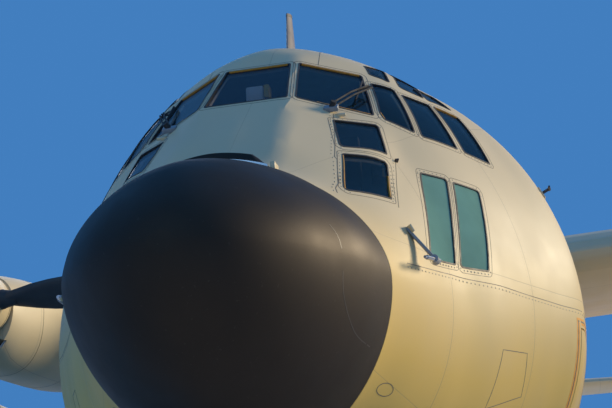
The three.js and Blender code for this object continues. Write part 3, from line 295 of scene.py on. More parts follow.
def wing_paint():
    """Semi-gloss cream paint with the joints of the wing's and tail's panels."""
    shader = Shader("cream_wing_paint", CREAM, 0.45)
    shader.set("Coat Weight", 0.1)
    shader.set("Coat Roughness", 0.4)
    to_rib = shader.fold(shader.y, 20.05, RIB_STEP)
    joint, rivets = panel_marks(shader, to_rib, shader.fold(shader.x, 20.2, SPAR_STEP), 0.01, shader.x)
    patches = shader.remap(shader.noise(1.0, 3.0), 0.35, 0.7, 0, 0.5)
    colour = shader.mix(patches, CREAM, (0.57, 0.475, 0.31))
    colour = shader.mix(shader.times(joint, 0.5), colour, (0.22, 0.19, 0.14))
    colour = shader.mix(shader.times(rivets, 0.2), colour, (0.3, 0.26, 0.19))
    shader.set("Base Color", colour)
    shader.set("Roughness", shader.remap(shader.noise(4.0), 0.3, 0.7, 0.4, 0.54))
    return shader.material


def plain(name, colour, roughness, metallic=0.0, grain=60.0, spread=0.12, bump=0.0002):
    """A finish with fine colour variation and a little texture."""
    shader = Shader(name, colour, roughness, metallic)
    darker = tuple(part * (1 - 2 * spread) for part in colour)
    shader.set("Base Color", shader.mix(shader.remap(shader.noise(grain), 0.35, 0.7, 0, 1), colour, darker))
    rough = shader.remap(shader.noise(grain * 0.4), 0.3, 0.7, roughness * 0.85, min(roughness * 1.2, 1))
    shader.set("Roughness", rough)
    if bump:
        shader.bump(shader.noise(grain * 4), bump, 0.4)
    return shader.material


def radome_finish():
    """Rubbery near-black coating of the radome, worn brownish."""
    shader = Shader("radome_coating", (0.014, 0.013, 0.013), 0.4)
    shader.set("Specular IOR Level", 0.36)
    shader.set("Specular Tint", (1.0, 0.8, 0.62))
    worn = shader.remap(shader.noise(1.6, 5.0), 0.4, 0.75, 0, 0.7)
    streak = shader.remap(shader.noise(2.5, 6.0, (1.0, 1.0, 0.2)), 0.5, 0.8, 0, 0.5)
    specks = shader.near(shader.noise(90.0, 2.0), 0.28, 0.02)
    colour = shader.mix(worn, (0.007, 0.0065, 0.006), (0.022, 0.015, 0.010))
    colour = shader.mix(streak, colour, (0.03, 0.021, 0.014))
    shader.set("Base Color", shader.mix(shader.times(specks, 0.25), colour, (0.07, 0.06, 0.05)))
    shader.set("Roughness", shader.remap(shader.noise(6.0), 0.3, 0.7, 0.48, 0.6))
    shader.bump(shader.noise(140.0, 2.0), 0.0002, 0.3)
    return shader.material


def pane_glass(name, colour, see, gloss=0.5):
    """Tinted glass: how much of it is seen, against what is behind, and how much it mirrors."""
    shader = Shader(name, colour, 0.04)
    shader.set("IOR", 1.5)
    shader.set("Specular IOR Level", gloss)
    shader.set("Alpha", see)
    haze = shader.remap(shader.noise(4.0, 3.0), 0.35, 0.7, 0, 0.5)
    shader.set("Base Color", shader.mix(haze, colour, tuple(part * 1.6 for part in colour)))
    return shader.material


HULL_PAINT = hull_paint()
WING_PAINT = wing_paint()
TRIM_PAINT = plain("cream_trim_paint", CREAM, 0.34, grain=8.0, spread=0.04, bump=0)
RADOME_FINISH = radome_finish()
GLASS = pane_glass("deck_glass", (0.004, 0.018, 0.032), 0.34)
# The tall side windows' green tint is a painted reflection, and their own mirroring is turned off
TALL_GLASS_PAINTED_REFLECTION = pane_glass("lower_side_glass_painted_reflection", (0.17, 0.34, 0.29), 0.66, 0.0)
SEAL = plain("black_seal", (0.03, 0.028, 0.027), 0.6, grain=80.0)
AMBER_SEAL = plain("amber_seal", (0.62, 0.3, 0.04), 0.45, grain=80.0)
ORANGE = plain("orange_line_paint", (0.9, 0.36, 0.01), 0.4, grain=20.0, spread=0.06, bump=0)
JOINT_LINE = plain("joint_line", (0.2, 0.16, 0.11), 0.6, grain=40.0)
RIVET_PAINT = plain("rivet_paint", (0.44, 0.36, 0.23), 0.35, grain=30.0, bump=0)
LINER = plain("deck_liner", (0.12, 0.135, 0.115), 0.8, grain=30.0)
DARK_METAL = plain("dark_metal", (0.06, 0.06, 0.065), 0.45, 0.6, grain=40.0)
GREY_PAINT = plain("grey_blue_paint", (0.24, 0.26, 0.28), 0.4, grain=30.0)
STEEL = plain("polished_steel", (0.6, 0.61, 0.62), 0.22, 1.0, grain=30.0, spread=0.05, bump=0)
GEAR_PAINT = plain("gear_paint", (0.6, 0.6, 0.56), 0.4, grain=20.0, spread=0.06)
RUBBER = plain("tyre_rubber", (0.022, 0.022, 0.023), 0.8, grain=50.0, bump=0.0006)
BLADE_BLACK = plain("blade_black", (0.035, 0.036, 0.038), 0.5, grain=20.0)
INSTRUMENT_WHITE = plain("instrument_white", (0.8, 0.82, 0.8), 0.5, grain=30.0, spread=0.04)
YELLOW = plain("yellow_paint", (0.75, 0.5, 0.03), 0.45, grain=30.0)
BROWN_GREY = plain("brown_grey_paint", (0.2, 0.17, 0.145), 0.4, grain=20.0)
PALE_GREEN = plain("pale_green_card", (0.35, 0.55, 0.4), 0.6, grain=30.0)
CREASE_BROWN = plain("radome_crease_brown", (0.045, 0.034, 0.026), 0.45, grain=30.0, bump=0)
BURNT = plain("burnt_metal", (0.12, 0.1, 0.09), 0.4, 0.9, grain=20.0)
HOLD_FLOOR = plain("ramp_inner_paint", (0.3, 0.31, 0.29), 0.6, 0.2, grain=30.0)

# Shapes made with the modelling operators


def deselect():
    """Leaves the mesh that is being edited, and selects nothing."""
    if bpy.context.mode != "OBJECT":
        bpy.ops.object.mode_set(mode="OBJECT")
    bpy.ops.object.select_all(action="DESELECT")


def activate(piece):
    deselect()
    piece.select_set(True)
    bpy.context.view_layer.objects.active = piece


def start(name):
    """Names the object that an operator has just added."""
    piece = bpy.context.object
    piece.name = name
    piece.data.name = name
    return piece


def edit(piece):
    """Opens the piece's mesh, all of it selected."""
    activate(piece)
    bpy.ops.object.mode_set(mode="EDIT")
    bpy.ops.mesh.select_all(action="SELECT")


def outward(piece):
    """Turns the faces of the mesh that is being edited outward, and leaves it."""
    bpy.ops.mesh.select_all(action="SELECT")
    bpy.ops.mesh.normals_make_consistent(inside=False)
    deselect()
    return piece


def modified(piece, kind, **settings):
    """The piece with a modifier applied."""
    modifier = piece.modifiers.new("change", kind)
    for name, value in settings.items():
        setattr(modifier, name, value)
    activate(piece)
    bpy.ops.object.modifier_apply(modifier=modifier.name)
    return piece


def finish_piece(piece, material, body="airframe", replaced=(), angle=30.0):
    """Material, smooth shading, the body that it rides on and the nodes that it stands for."""
    piece.data.materials.clear()
    piece.data.materials.append(material)
    activate(piece)
    bpy.ops.object.shade_smooth_by_angle(angle=math.radians(angle))
    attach(piece, body)
    if replaced:
        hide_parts(*replaced)
    deselect()
    return piece


def weighted(piece):
    """Shading led by the big faces, which keeps flat parts flat beside narrow ones."""
    return modified(piece, "WEIGHTED_NORMAL", keep_sharp=True, weight=60)


def bevelled(piece, width):
    return modified(
        piece, "BEVEL", width=width, segments=2, limit_method="ANGLE", angle_limit=math.radians(30),
    )


def subtract(piece, cutter, operation="DIFFERENCE"):
    """The piece after a boolean with the cutter, which goes away."""
    modified(piece, "BOOLEAN", operation=operation, object=cutter, solver="MANIFOLD")
    bpy.data.objects.remove(cutter)
    return piece


def shared(piece, cutter):
    """The part of the piece that is inside the cutter."""
    return subtract(piece, cutter, "INTERSECT")


def key(co):
    return (round(co.x, 5), round(co.y, 5), round(co.z, 5))


def extruded(name, rings, close_start=True, close_end=True):
    """A circle laid on the first ring and extruded from ring to ring."""
    deselect()
    bpy.ops.mesh.primitive_circle_add(vertices=len(rings[0]), radius=1)
    piece = start(name)
    edit(piece)
    mesh = bmesh.from_edit_mesh(piece.data)
    mesh.verts.ensure_lookup_table()
    for index, co in enumerate(rings[0]):
        mesh.verts[index].co = co
    if close_start:
        bpy.ops.mesh.edge_face_add()
        mesh = bmesh.from_edit_mesh(piece.data)
        for face in mesh.faces:
            face.select_set(False)
        for edge in mesh.edges:
            edge.select_set(True)
    bpy.context.tool_settings.mesh_select_mode = (False, True, False)
    for before, after in zip(rings, rings[1:]):
        order = {key(co): index for index, co in enumerate(before)}
        bpy.ops.mesh.extrude_edges_move()
        mesh = bmesh.from_edit_mesh(piece.data)
        for vertex in mesh.verts:
            if vertex.select:
                vertex.co = after[order[key(vertex.co)]]
        bmesh.update_edit_mesh(piece.data)
    if close_end:
        bpy.ops.mesh.edge_face_add()
    return outward(piece)


def joined(name, pieces):
    """One object from several."""
    activate(pieces[0])
    for piece in pieces:
        piece.select_set(True)
    if len(pieces) > 1:
        bpy.ops.object.join()
    whole = start(name)
    deselect()
    return whole


def copy_of(piece, name):
    activate(piece)
    bpy.ops.object.duplicate()
    copy = start(name)
    copy.data = copy.data.copy()
    deselect()
    return copy


def mirrored(piece, name):
    """A copy across the middle plane, with its faces turned outward again."""
    copy = copy_of(piece, name)
    edit(copy)
    bpy.ops.transform.mirror(constraint_axis=(False, True, False), center_override=(0, 0, 0))
    bpy.ops.mesh.flip_normals()
    deselect()
    return copy


def with_twin(piece, both):
    """The piece, and its mirrored twin for the starboard side."""
    return [piece, mirrored(piece, f"{piece.name}_starboard")] if both else [piece]


def finish_twins(piece, both, material, body="airframe", angle=30.0):
    for half in with_twin(piece, both):
        finish_piece(half, material, body, angle=angle)


def box_piece(name, low, high):
    """A box between two corners in metres of the real aeroplane, as a start for a piece."""
    a = at(*low)
    b = at(*high)
    deselect()
    bpy.ops.mesh.primitive_cube_add(size=1, location=(a + b) / 2)
    piece = start(name)
    piece.scale = [abs(part) for part in (b - a)]
    bpy.ops.object.transform_apply(location=True, rotation=True, scale=True)
    return piece


def line_inside(piece, outside, inside):
    """Gives the faces that look towards the hull's middle line another material."""
    piece.data.materials.clear()
    piece.data.materials.append(outside)
    piece.data.materials.append(inside)
    for face in piece.data.polygons:
        across = face.center - Vector((face.center.x, 0, HULL_MIDDLE * HALF))
        if face.normal.dot(across.normalized()) < -0.3:
            face.material_index = 1


# The hull


def column(index, s, table=HULL):
    """Smooth curve through a column of a table of stations, without overshoot."""
    i = 0
    while i + 2 < len(table) and table[i + 1][0] <= s:
        i += 1

    def slope(k):
        return (table[k + 1][index] - table[k][index]) / (table[k + 1][0] - table[k][0])

    def tangent(k):
        if k <= 0:
            return slope(0)
        if k >= len(table) - 1:
            return slope(len(table) - 2)
        a, b = slope(k - 1), slope(k)
        return 0 if a * b <= 0 else 2 * a * b / (a + b)

    span = table[i + 1][0] - table[i][0]
    t = (s - table[i][0]) / span
    return (
        (2 * t**3 - 3 * t**2 + 1) * table[i][index]
        + (t**3 - 2 * t**2 + t) * span * tangent(i)
        + (-2 * t**3 + 3 * t**2) * table[i + 1][index]
        + (t**3 - t**2) * span * tangent(i + 1)
    )


def hull_lean(s):
    part = s / RADOME_JOINT if s < RADOME_JOINT else (LEAN_END - s) / (LEAN_END - RADOME_JOINT)
    return RADOME_LEAN * max(part, 0)


# The windshields' planes: a point as (station, y, z) and the direction outward as (ahead, port, up)
CENTRE_PLANE = ((1.933, 0.0, 3.572), (0.684, 0.0, 0.73))
SIDE_PLANE = ((1.959, 0.334, 3.574), (0.569, 0.518, 0.639))


def ease(value, low, high):
    t = max(0.0, min(1.0, (value - low) / (high - low)))
    return t * t * (3 - 2 * t)


def onto_windshields(s, y, z, inset):
    """Moves a point of the brow onto the windshields' planes, and leaves the rest of the hull alone."""
    if s > 3.2 or z < 2.6:
        return s, y, z
    side = math.copysign(1.0, y)
    best = None
    for (s0, y0, z0), (ahead, port, up) in (CENTRE_PLANE, SIDE_PLANE):
        gap = (s0 - s) * ahead + (abs(y) - y0) * port + (z - z0) * up + inset
        if best is None or gap > best[0]:
            best = (gap, ahead, port, up)
    gap, ahead, port, up = best
    near = 1 - ease(abs(gap), 0.1, 0.2)
    below = ease(z, 2.75, 3.05) * (1 - ease(z, 4.12, 4.3)) * (1 - ease(abs(y), 0.76, 1.0))
    inside = ease(z, 3.3, 3.48) * (1 - ease(z, 4.14, 4.3)) * (1 - ease(abs(y), 0.74, 0.97))
    weight = near * (below if gap < 0 else inside)
    return s + gap * ahead * weight, y - side * gap * port * weight, z - gap * up * weight


def signed_power(value, power):
    """A power that keeps the sign, for sections with fuller or flatter sides than an ellipse."""
    return math.copysign(abs(value) ** power, value)


def hull_ring(s, inset=0.0):
    """The hull's section at a station, from an inset inside the skin."""
    half, wide, top, bottom, top_power, bottom_power = (column(c, s) for c in range(1, 7))
    inset -= SKIN_LIFT
    ring = []
    for c, d in turns(RING_POINTS):
        power = top_power if d >= 0 else bottom_power
        reach = top - wide - inset if d >= 0 else wide - bottom - inset
        y = signed_power(c, 2 / power) * max(half - inset, 0.01)
        z = wide + signed_power(d, 2 / power) * max(reach, 0.01)
        ring.append(at(*onto_windshields(s + hull_lean(s) * (z - LEAN_Z), y, z, inset)))
    return ring


def steps(first, last, step):
    """Evenly spaced stations, about a step apart."""
    count = max(1, round((last - first) / step))
    return [first + (last - first) * i / count for i in range(count + 1)]


def shell(name, stations, wall=SKIN, depth=0.0):
    """The hull's skin between stations, from a depth inside it and as thick as the wall, with open ends."""
    rings = [hull_ring(s, depth) for s in stations]
    rings += [hull_ring(s, depth + wall) for s in reversed(stations)]
    piece = extruded(name, rings, False, False)
    edit(piece)
    bpy.ops.mesh.select_non_manifold(extend=False)
    bpy.ops.mesh.bridge_edge_loops()
    return outward(piece)


NOSE_STATIONS = [*steps(RADOME_JOINT, 3.2, 0.05), *steps(3.28, CABIN_JOINT - 0.002, 0.09)]
nose = shell("nose_skin", NOSE_STATIONS)
surface = BVHTree.FromObject(nose, bpy.context.evaluated_depsgraph_get())


def nearest_on_skin(co):
    """The nearest point of the nose's skin, and its direction outward."""
    hit, normal, _, _ = surface.find_nearest(co)
    return hit, normal if normal.dot(co - DECK_MIDDLE) > 0 else -normal


def on_skin(s, y, z, lift=0.0):
    """The nearest point of the nose's outside, lifted off it, and its direction outward."""
    centre = at(s, 0, 2.2)
    target = at(s, y, z)
    away = (target - centre).normalized()
    hit, normal, _, _ = surface.ray_cast(centre + away * 4, -away)
    near, near_normal, _, _ = surface.find_nearest(target + away * 0.02)
    if near is not None and (hit is None or (near - target).length < (hit - target).length):
        hit, normal = near, near_normal
    if normal.dot(away) < 0:
        normal = -normal
    return hit + normal * lift * HALF, normal


WINDOW_ROUND = 0.02
CORNER_STEPS = 5


def rounded(corners, spread):
    """Outline with round corners, spread outward in the polygon's own plane, and its direction outward."""
    points = [at(*corner) for corner in corners]
    count = len(points)
    normal = Vector()
    for i, co in enumerate(points):
        normal += co.cross(points[(i + 1) % count])
    normal.normalize()
    middle = sum(points, Vector()) / count
    if normal.dot(middle - DECK_MIDDLE) < 0:
        normal.negate()
    size = max(WINDOW_ROUND + spread * 0.7, 0.01) * HALF
    outline = []
    for i, co in enumerate(points):
        back = (points[i - 1] - co).normalized()
        ahead = (points[(i + 1) % count] - co).normalized()
        bisector = (back + ahead).normalized()
        half_angle = math.acos(max(-1, min(1, back.dot(ahead)))) / 2
        corner = co - bisector * spread * HALF / math.sin(half_angle)
        centre = corner + bisector * size / math.sin(half_angle)
        run = size / math.tan(half_angle)
        a = corner + back * run - centre
        b = corner + ahead * run - centre
        for step in range(CORNER_STEPS + 1):
            t = step / CORNER_STEPS
            outline.append(centre + (a * (1 - t) + b * t).normalized() * size)
    return outline, normal


# Window frames, seals and panes are cut out of thin skins, so that they lie in the nose's own surface
WINDOW_STATIONS = NOSE_STATIONS[:-8]
FRAME_SKIN = shell("frame_skin", WINDOW_STATIONS, 0.03, -0.003)
GLASS_SKIN = shell("glass_skin", WINDOW_STATIONS, 0.008, 0.007)
LINE_SKIN = shell("line_skin", WINDOW_STATIONS, 0.012, -0.0012)
SEAL_IN = -0.003
SEAL_OUT = 0.009
PANE_OUT = 0.006
FRAME_LINE = 0.04
FRAME_LINE_WIDTH = 0.004
FRAME_RIVETS = 0.024
FRAME_RIVET_STEP = 0.042
CUT_LOW = -0.2
CUT_HIGH = 0.16


def window_prism(name, corners, spread):
    outline, normal = rounded(corners, spread)
    return extruded(name, [[co + normal * d * HALF for co in outline] for d in (CUT_LOW, CUT_HIGH)])


def window_band(name, source, corners, inner, outer):
    """A closed band round a window, lying in the skin."""
    band = shared(copy_of(source, name), window_prism("keep", corners, outer))
    return subtract(band, window_prism("remove", corners, inner))


def dots(name, spots, radius=0.006, height=0.003):
    """Low round heads at (point, direction) spots: one head is modelled and copied."""
    deselect()
    bpy.ops.mesh.primitive_uv_sphere_add(segments=8, ring_count=4, radius=radius * HALF)
    head = start(name)
    edit(head)
    bpy.ops.transform.resize(value=(1, 1, height / radius))
    deselect()
    copies = bmesh.new()
    for co, normal in spots:
        before = len(copies.verts)
        copies.from_mesh(head.data)
        copies.verts.ensure_lookup_table()
        turn = normal.to_track_quat("Z", "Y").to_matrix().to_4x4()
        place = Matrix.Translation(co) @ turn
        bmesh.ops.transform(copies, matrix=place, space=Matrix(), verts=copies.verts[before:])
    copies.to_mesh(head.data)
    copies.free()
    return head


def spaced(path, gap):
    """Spots along a path of (point, direction), evenly spaced."""
    spots = []
    left = 0.0
    for (a, normal), (b, _) in zip(path, path[1:]):
        length = (b - a).length
        while left < length:
            spots.append((a.lerp(b, left / length), normal))
            left += gap * HALF
        left -= length
    return spots

def with_mirrored(spots):
    """The spots, and their mirror images on the starboard side."""
    flip = Vector((1, -1, 1))
    return spots + [(co * flip, normal * flip) for co, normal in spots]


WINDOW_GLASS = {"tall_front": TALL_GLASS_PAINTED_REFLECTION, "tall_rear": TALL_GLASS_PAINTED_REFLECTION}
cutters = []
rivet_spots = []
for window, corners in WINDOWS.items():
    both = window != "windshield_middle"
    cutters += with_twin(window_prism(f"cut_{window}", corners, 0.0), both)
    seal = window_band(f"seal_{window}", FRAME_SKIN, corners, SEAL_IN, SEAL_OUT)
    glass = shared(copy_of(GLASS_SKIN, f"glass_{window}"), window_prism("keep", corners, PANE_OUT))
    finish_twins(seal, both, SEAL, angle=24)
    finish_twins(glass, both, WINDOW_GLASS.get(window, GLASS), angle=24)
    if "eyebrow" in window:
        continue
    line = window_band(f"frame_line_{window}", LINE_SKIN, corners, FRAME_LINE, FRAME_LINE + FRAME_LINE_WIDTH)
    finish_twins(line, both, JOINT_LINE, angle=24)
    if "windshield" in window:
        continue
    outline, _ = rounded(corners, FRAME_RIVETS)
    path = [nearest_on_skin(co) for co in [*outline, outline[0]]]
    rivet_spots += with_mirrored(spaced(path, FRAME_RIVET_STEP))
finish_piece(dots("window_rivets", rivet_spots), RIVET_PAINT, angle=60)

# Thin lines of sealant: (window, first corner, second corner)
SEALANT = [
    ("windshield_middle", 0, 1), ("windshield_side", 0, 1), ("windshield_side", 2, 3), ("side_front", 3, 4),
    ("lower_lower", 3, 0), ("lower_lower", 1, 2), ("side_rear", 0, 1),
]
SEALANT_WIDTH = 0.007
for window, first, second in SEALANT:
    corners = [Vector(corner) for corner in WINDOWS[window]]
    middle = sum(corners, Vector()) / len(corners)
    a = corners[first]
    b = corners[second]
    along = (at(*b) - at(*a)).normalized()
    rings = []
    for k in range(9):
        co = a.lerp(b, 0.03 + 0.94 * k / 8)
        co = co + (middle - co).normalized() * 0.004
        hit, normal = nearest_on_skin(at(*co))
        side = along.cross(normal).normalized() * SEALANT_WIDTH / 2 * HALF
        top = hit + normal * 0.0035 * HALF
        low = hit - normal * 0.01 * HALF
        rings.append([top - side, top + side, low + side, low - side])
    strip = extruded(f"sealant_{window}_{first}", rings)
    finish_twins(strip, window != "windshield_middle", AMBER_SEAL)

CREW_DOOR = {"from": 3.84, "to": 4.6, "sill": 1.06, "top": 2.17}
CREW_DOOR_GAP = 0.014


def doorway(name, door, inner, outer, grow, below):
    """A box through the skin where a door is, grown by a gap, with more below the sill."""
    low = (door["from"] - grow, inner, door["sill"] - below)
    return box_piece(name, low, (door["to"] + grow, outer, door["top"] + grow))


cutters.append(doorway("cut_crew_door", CREW_DOOR, 1.2, 2.6, CREW_DOOR_GAP, 0.035))
cutters.append(box_piece("cut_nose_well", (1.74, -0.72, 0.2), (3.3, 0.72, 1.3)))
for cutter in cutters:
    subtract(nose, cutter)
finish_piece(nose, HULL_PAINT, replaced=("nose_section",), angle=22)
line_inside(nose, HULL_PAINT, LINER)
weighted(nose)
for skin in (FRAME_SKIN, GLASS_SKIN, LINE_SKIN):
    bpy.data.objects.remove(skin)

# Radome, the bulkhead behind it and the bulkhead's stiffeners
RADOME_STATIONS = [
    0.0, 0.004, 0.01, 0.022, 0.038, 0.07, 0.115, 0.18, 0.256, 0.36, 0.486, 0.63, 0.794, 0.92, 1.05, 1.17,
    RADOME_JOINT - 0.006,
]
radome = extruded("radome_shell", [hull_ring(s) for s in RADOME_STATIONS], True, False)
modified(radome, "SOLIDIFY", thickness=0.02, offset=-1)
finish_piece(radome, RADOME_FINISH, "radome_body", ("radome",), 40)

BULKHEAD = RADOME_JOINT + 0.012
STIFFENER_Z = 1.92
bulkhead = [[co - AHEAD * back for co in hull_ring(BULKHEAD, 0.048)] for back in (0.0, 0.012)]
finish_piece(extruded("radar_bulkhead", bulkhead), LINER)
stiffeners = []
for y in (-0.5, -0.2, 0.2, 0.5):
    s = BULKHEAD + RADOME_LEAN * (STIFFENER_Z - LEAN_Z)
    low = (s - 0.03, y - 0.02, STIFFENER_Z - 0.5)
    bar = box_piece("stiffener", low, (s + 0.02, y + 0.02, STIFFENER_Z + 0.55))
    stiffeners.append(bevelled(bar, 0.002))
finish_piece(joined("bulkhead_stiffeners", stiffeners), LINER)

# Shapes that repeat on the aeroplane


def circle(centre, side, other, radius, count):
    return [centre + (side * c + other * d) * radius for c, d in turns(count)]


def turned_ring(centre, along, radius, count):
    """A circle of points about a line."""
    side = along.orthogonal().normalized()
    return circle(centre, side, along.cross(side), radius, count)


def lathe(name, profile, centre, along, count=48, closed=True):
    """A turned shape: profile of (radius, distance along) in metres of the real aeroplane."""
    along = Vector(along).normalized()
    middle = at(*centre)
    rings = [turned_ring(middle + along * d * HALF, along, max(r, 0.0008) * HALF, count) for r, d in profile]
    return extruded(name, rings, closed, closed)


def direction_at(points, i):
    """The direction of a path at one of its points."""
    return (points[min(i + 1, len(points) - 1)] - points[max(i - 1, 0)]).normalized()


def tube(name, path, radius, sides=10, end_radius=None):
    """A round bar that follows a path of points of the model."""
    end_radius = radius if end_radius is None else end_radius
    side = (path[1] - path[0]).orthogonal().normalized()
    rings = []
    for i, co in enumerate(path):
        along = direction_at(path, i)
        side = (side - along * side.dot(along)).normalized()
        size = (radius + (end_radius - radius) * i / (len(path) - 1)) * HALF
        rings.append(circle(co, side, along.cross(side), size, sides))
    return extruded(name, rings)


def bent(points, steps_between):
    """A smooth path through points of the real aeroplane."""
    points = [at(*point) for point in points]
    path = []
    for i in range(len(points) - 1):
        p0 = points[max(i - 1, 0)]
        p1, p2 = points[i], points[i + 1]
        p3 = points[min(i + 2, len(points) - 1)]
        for k in range(steps_between):
            u = k / steps_between
            squared = (2 * p0 - 5 * p1 + 4 * p2 - p3) * u * u
            cubed = (3 * p1 - p0 - 3 * p2 + p3) * u**3
            path.append(0.5 * (2 * p1 + (p2 - p0) * u + squared + cubed))
    path.append(points[-1])
    return path


def skin_path(points, lift, gap=0.06):
    """Points of a line laid on the nose's skin, and the skin's direction at each."""
    path = []
    for first, second in zip(points, points[1:]):
        count = max(1, int((at(*second) - at(*first)).length / HALF / gap))
        for k in range(count):
            path.append(on_skin(*(a + (b - a) * k / count for a, b in zip(first, second)), lift))
    path.append(on_skin(*points[-1], lift))
    return path


def with_side(path):
    """A path of (point, direction outward) with the direction across it added."""
    points = [co for co, _ in path]
    return [(co, out, direction_at(points, i).cross(out).normalized()) for i, (co, out) in enumerate(path)]


def ribbon(name, path, width, depth):
    """A flat strip along a path of (point, direction outward), let into the skin."""
    rings = []
    for co, normal, side in with_side(path):
        side = side * width / 2 * HALF
        low = co - normal * depth * HALF
        rings.append([co - side, co + side, low + side, low - side])
    return extruded(name, rings)


def dressed(node, material, angle=28.0):
    """A piece that takes a CAD node's shape, merged and smoothly shaded."""
    source = NODES[node]
    piece = copy_of(source, f"{node}_shape")
    piece.parent = None
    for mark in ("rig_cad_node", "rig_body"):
        if mark in piece:
            del piece[mark]
    edit(piece)
    bpy.ops.mesh.remove_doubles(threshold=0.00002)
    deselect()
    finish_piece(piece, material, source["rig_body"], (node,), angle)
    return weighted(piece)


SLOT_OF = {part["node"]: part["material_slot"] for part in frame["record"]["subparts"]}

# Small things on the nose


def small(name, material, *pieces, both=True, body="airframe", slot="metal", angle=40):
    """One piece from several, and its twin on the starboard side."""
    finish_twins(joined(name, list(pieces)), both, material, body, angle)


def block(centre, size, along, outward, edge=0.15):
    """A box with round edges, laid along one direction with its top outward."""
    along = along.normalized()
    side = outward.cross(along).normalized()
    upward = along.cross(side)
    deselect()
    bpy.ops.mesh.primitive_cube_add(size=1)
    piece = start("block")
    axes = [axis * length * HALF for axis, length in zip((along, side, upward), size)]
    turn = Matrix(axes).transposed().to_4x4()
    piece.data.transform(Matrix.Translation(centre) @ turn)
    return bevelled(piece, min(size) * HALF * edge)


# Wipers of the side windshields: base, double arm and blade
base, out = on_skin(2.09, 0.55, 3.49)
tip, _ = on_skin(2.63, 0.745, 3.79, 0.05)
blade_low, _ = on_skin(2.38, 0.69, 3.66, 0.016)
blade_high, _ = on_skin(2.72, 0.72, 3.97, 0.016)
blade_middle = (blade_low + blade_high) / 2
small("wiper_base", GREY_PAINT, block(base + out * 0.02 * HALF, (0.1, 0.06, 0.035), PORT, out))
root = base + out * 0.045 * HALF
across = (tip - base).cross(out).normalized() * 0.017 * HALF
small(
    "wiper_arms", RUBBER,
    tube("arm", [root + across, (root + tip) / 2 + across + out * 0.02 * HALF, tip + across], 0.007, 8),
    tube("arm", [root - across, (root + tip) / 2 - across + out * 0.02 * HALF, tip - across], 0.007, 8),
    tube("pivot", [base, base + out * 0.075 * HALF], 0.02, 14),
    block(blade_middle, (0.42, 0.012, 0.022), blade_high - blade_low, out),
    tube("link", [tip, blade_middle + out * 0.01 * HALF], 0.008, 8),
)
bracket, out = on_skin(2.1, 0.6, 3.42)
small("wiper_bracket", TRIM_PAINT, block(bracket + out * 0.012 * HALF, (0.07, 0.025, 0.02), PORT, out))

# Pitot probes: a strut that hangs out and down from the skin, and the tube at its end
strut_root, out = on_skin(1.727, 1.039, 2.511)
strut_end = strut_root + Vector((0.037, 0.151, -0.211)) * HALF
tube_back = strut_end + Vector((-0.06, 0.012, 0.004)) * HALF
tube_front = strut_end + Vector((0.16, -0.04, -0.02)) * HALF
pad = block(strut_root + out * 0.003 * HALF, (0.12, 0.05, 0.012), Vector((1, 0.5, 0)), out)
small("pitot_pad", TRIM_PAINT, pad)
small(
    "pitot_strut", GREY_PAINT,
    block(strut_root.lerp(strut_end, 0.49), (0.285, 0.02, 0.055), strut_end - strut_root, AHEAD, 0.45),
    tube("collar", [strut_end - AHEAD * 0.02, strut_end + Vector((0.02, -0.002, 0))], 0.026, 14, 0.024),
)
small(
    "pitot_tube", STEEL,
    tube("tube", [tube_back, strut_end, tube_front], 0.019, 16, 0.014),
    tube("mouth", [tube_front, tube_front.lerp(strut_end, -0.2)], 0.009, 12),
)

# Probes behind the flight deck
probe, out = on_skin(4.0, 1.98, 3.346)
knee = probe + out * 0.075 * HALF
small("air_probe_pad", TRIM_PAINT, block(probe + out * 0.003 * HALF, (0.1, 0.1, 0.012), AHEAD, out))
small(
    "air_probe", DARK_METAL,
    tube("stem", [probe - out * 0.005, knee], 0.012, 10),
    tube("nose", [knee - Vector((0.01, 0, 0)), knee + Vector((0.035, 0, 0))], 0.014, 12, 0.008),
)

# Small fin below the lower windows
fin_foot, out = on_skin(2.124, 0.958, 3.098)
fin_plate = block(fin_foot + out * 0.01 * HALF, (0.035, 0.007, 0.028), Vector((1, 0.4, 0.5)), out)
small("small_fin", DARK_METAL, fin_plate)

# Blade antenna on the roof
ANTENNA = [  # station, height over the roof's line, chord, thickness
    (3.18, -0.08, 0.34, 0.05), (3.23, 0.05, 0.31, 0.044), (3.3, 0.22, 0.26, 0.036), (3.37, 0.39, 0.21, 0.028),
]
ROOF = 4.52
rings = []
for s, high, chord, thick in ANTENNA:
    ring = []
    for c, d in turns(16):
        u = 0.5 - 0.5 * c
        v = 0.5 * d * (1.25 * math.sqrt(max(u, 0)) * (1 - u) * 1.9 + 0.1)
        ring.append(at(s + u * chord, 0.085 - high * 0.05 + v * thick * 1.6, ROOF + high + u * high * 0.12))
    rings.append(ring)
small("blade_antenna", BROWN_GREY, extruded("antenna", rings), both=False, slot="paint")
tip_middle = sum(rings[-1], Vector()) / len(rings[-1])
cap = [co + (co - tip_middle) * 0.06 for co in rings[-1]]
cap_top = [co + Vector((-0.004, 0, 0.014)) for co in cap]
small("blade_antenna_cap", DARK_METAL, extruded("cap", [cap, cap_top]), both=False, slot="paint")

# Cover over the radome's hinges, with a bright edge and a bracket
JOINT = {"half": 0.966, "wide": 2.143, "top": 2.85, "power": 1.8}
COVER_STEPS = 20


def joint_spot(y):
    """Station and height of the top of the radome's joint, at a distance from the middle."""
    share = (1 - (abs(y) / JOINT["half"]) ** JOINT["power"]) ** (1 / JOINT["power"])
    z = JOINT["wide"] + (JOINT["top"] - JOINT["wide"]) * share
    return RADOME_JOINT + RADOME_LEAN * (z - LEAN_Z), z


def along_joint(name, profile, first, last, falling=True):
    """A profile of (back, up) carried across the joint's top; its height can fall off at both ends."""
    rings = []
    for i in range(COVER_STEPS + 1):
        y = first + (last - first) * i / COVER_STEPS
        s, z = joint_spot(y)
        part = min(1, 6 * min(i, COVER_STEPS - i) / COVER_STEPS + 0.15) if falling else 1
        rings.append([at(s + back, y, z + up * (part if up > 0 else 1)) for back, up in profile])
    return extruded(name, rings)


